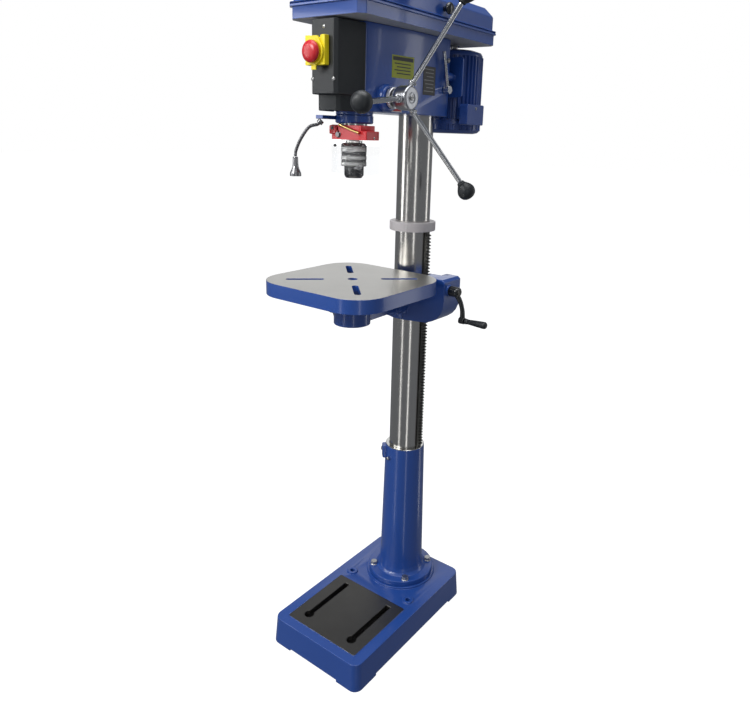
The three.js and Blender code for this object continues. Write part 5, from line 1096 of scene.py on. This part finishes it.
shaped("guard_pin", swept_grid(pin_path, pin_r, 24), "quill", BRASS, "dark_steel")
shield_face = corners("guard_shield")[0][1] - 0.0003
for n, gx in enumerate((-0.024, 0.060)):
    pan_screw(f"guard_side_screw_{n + 1}", "guard_shield", (gx, shield_face, 1.3640), (0, -1, 0), 0.0036, GUN_STEEL)
print("guard from z =", round(float(clamp_low[2]), 4))

# %% [markdown]
# ## Switch
# The switch is a yellow box under a flap with a red mushroom. Pressing the mushroom stops the motor; lifting the
# flap uncovers the green start button.

# %% Switch, flap and buttons
worked_casting("switch_box", YELLOW, 1.2 * MM)
SLOT_OF["stop_flap"] = "yellow_plastic"
worked_casting("stop_flap", YELLOW, 0.9 * MM)
mush_low, mush_high = corners("stop_mushroom")
mcx, _, mcz = middle("stop_mushroom")
mush_r = (mush_high[0] - mush_low[0]) / 2
cap_back = mush_high[1] - 0.005
depth = cap_back - mush_low[1]
cap = [(0.0058, -0.0048), (0.0058, 0.0), (mush_r - 0.0030, 0.0), (mush_r - 0.0004, 0.0016), (mush_r, 0.0036),
       (mush_r - 0.0010, 0.0078), (mush_r - 0.0050, 0.0112), (mush_r - 0.0100, 0.0132), (0.0080, depth - 0.0004),
       (0.001, depth)]
round_piece("stop_mushroom_cap", "stop_mushroom", cap, (mcx, cap_back, mcz), (0, -1, 0), RED, 96, soft=1.4 * MM)
start_low, start_high = corners("start_button")
scx, _, scz = middle("start_button")
deep = start_high[1] - start_low[1]
start_shape = [(0.004, 0), (0.0072, 0), (0.0072, deep - 0.0012), (0.0060, deep - 0.0002), (0.002, deep)]
round_piece("start_button_cap", "start_button", start_shape, (scx, start_high[1], scz), (0, -1, 0), GREEN, 48,
            soft=0.6 * MM)
print("mushroom radius", round(float(mush_r), 4))

# %% [markdown]
# ## Lamp
# A gooseneck is a coil of wire in a tight skin, so its radius swells and dips evenly along its length. The lamp's
# head is a small turned cone with a lens set inside its mouth.

# %% Gooseneck and lamp head
HOSE_STEEL = skin("gooseneck steel", (0.24, 0.24, 0.25), (0.16, 0.16, 0.17), 0.34, 0.1, 30, 700, 0.1, Metallic=1.0)
ROUTE = [(-0.037, -0.070, -0.022), (-0.044, -0.075, -0.031), (-0.066, -0.081, -0.038), (-0.092, -0.081, -0.064),
         (-0.110, -0.079, -0.090), (-0.115, -0.077, -0.104)]
HEAD_UNDERSIDE = 1.440
hose = smooth_path([(x, sy + y, HEAD_UNDERSIDE + z) for x, y, z in ROUTE], 420)
COILS = 62
hose_r = 0.0034 + 0.0004 * np.cos(2 * math.pi * COILS * np.linspace(0, 1, 420))
shaped("lamp_gooseneck", swept_grid(hose, hose_r, 28), "stand", HOSE_STEEL, "black_plastic", ("lamp_hose",))
lx, ly, _ = middle("lamp_head")
lz = corners("lamp_head")[1][2]
LAMP_STEEL = turned_metal("satin lamp steel", (0.36, 0.36, 0.37), (0.28, 0.28, 0.29), 0.3, (-0.115, -0.323, 1.3))
lamp_shape = [(0.003, 0), (0.0056, 0), (0.0062, -0.0015), (0.0066, -0.0140), (0.0072, -0.0220), (0.0088, -0.0275),
              (0.0122, -0.0350), (0.0133, -0.0380), (0.0134, -0.0448), (0.0120, -0.0449), (0.0114, -0.0415),
              (0.0100, -0.0395), (0.001, -0.0385)]
round_piece("lamp_shade", "lamp_head", lamp_shape, (lx, ly, lz), material=LAMP_STEEL, sides=72, soft=0.8 * MM)
LENS = skin("lamp lens", (0.80, 0.86, 0.95), (0.70, 0.78, 0.90), 0.12, 0.02, 30, 300, 0.02, Coat_Weight=0.6)
round_piece("lamp_lens", "lamp_head", [(0.0110, -0.0412), (0.0109, -0.0424), (0.0080, -0.0434), (0.001, -0.0438)],
            (lx, ly, lz), material=LENS, sides=48, slot="chrome", extra=True, soft=0.5 * MM)
hose_collar = [(0.0036, 0.0), (0.0066, 0.0004), (0.0070, 0.0016), (0.0070, 0.0080), (0.0062, 0.0092),
               (0.0036, 0.0094)]
round_piece("gooseneck_ferrule", "lamp_hose", hose_collar, hose[0], hose[6] - hose[0], GUN_STEEL, 40, extra=True,
            soft=0.5 * MM)
print("gooseneck length", round(float(np.linalg.norm(np.diff(hose, axis=0), axis=1).sum()), 3), "m")

# %% [markdown]
# ## Floor and finish
# The floor is a plain pale plane. Any imported solid that still shows keeps its shape but gets a finish from the
# same set.

# %% Floor
REACH, FLOOR_Z = 30.0, -0.001
floor_mesh = bpy.data.meshes.new("floor")
floor_mesh.from_pydata([(REACH * x, REACH * y, FLOOR_Z) for x, y in ((-1, -1), (1, -1), (1, 1), (-1, 1))], [],
                       [(0, 1, 2, 3)])
floor = bpy.data.objects.new("floor", floor_mesh)
scene.collection.objects.link(floor)
FLOOR_PAINT, _, floor_shader = bare_material("pale floor", Roughness=0.9)
for label, value in (("Base Color", (0.22, 0.22, 0.22, 1)), ("Emission Color", (1, 1, 1, 1)),
                     ("Emission Strength", 0.97)):
    floor_shader.inputs[label].default_value = value
floor_mesh.materials.append(FLOOR_PAINT)
floor.visible_diffuse = False
floor.visible_glossy = False

# %% Finish what still shows as packed
for node, part in NODES.items():
    if not part.hide_render:
        for place_in in part.material_slots:
            place_in.material = ENAMEL
        print("packed solid still shown:", node)
print(len(PIECES), "pieces")
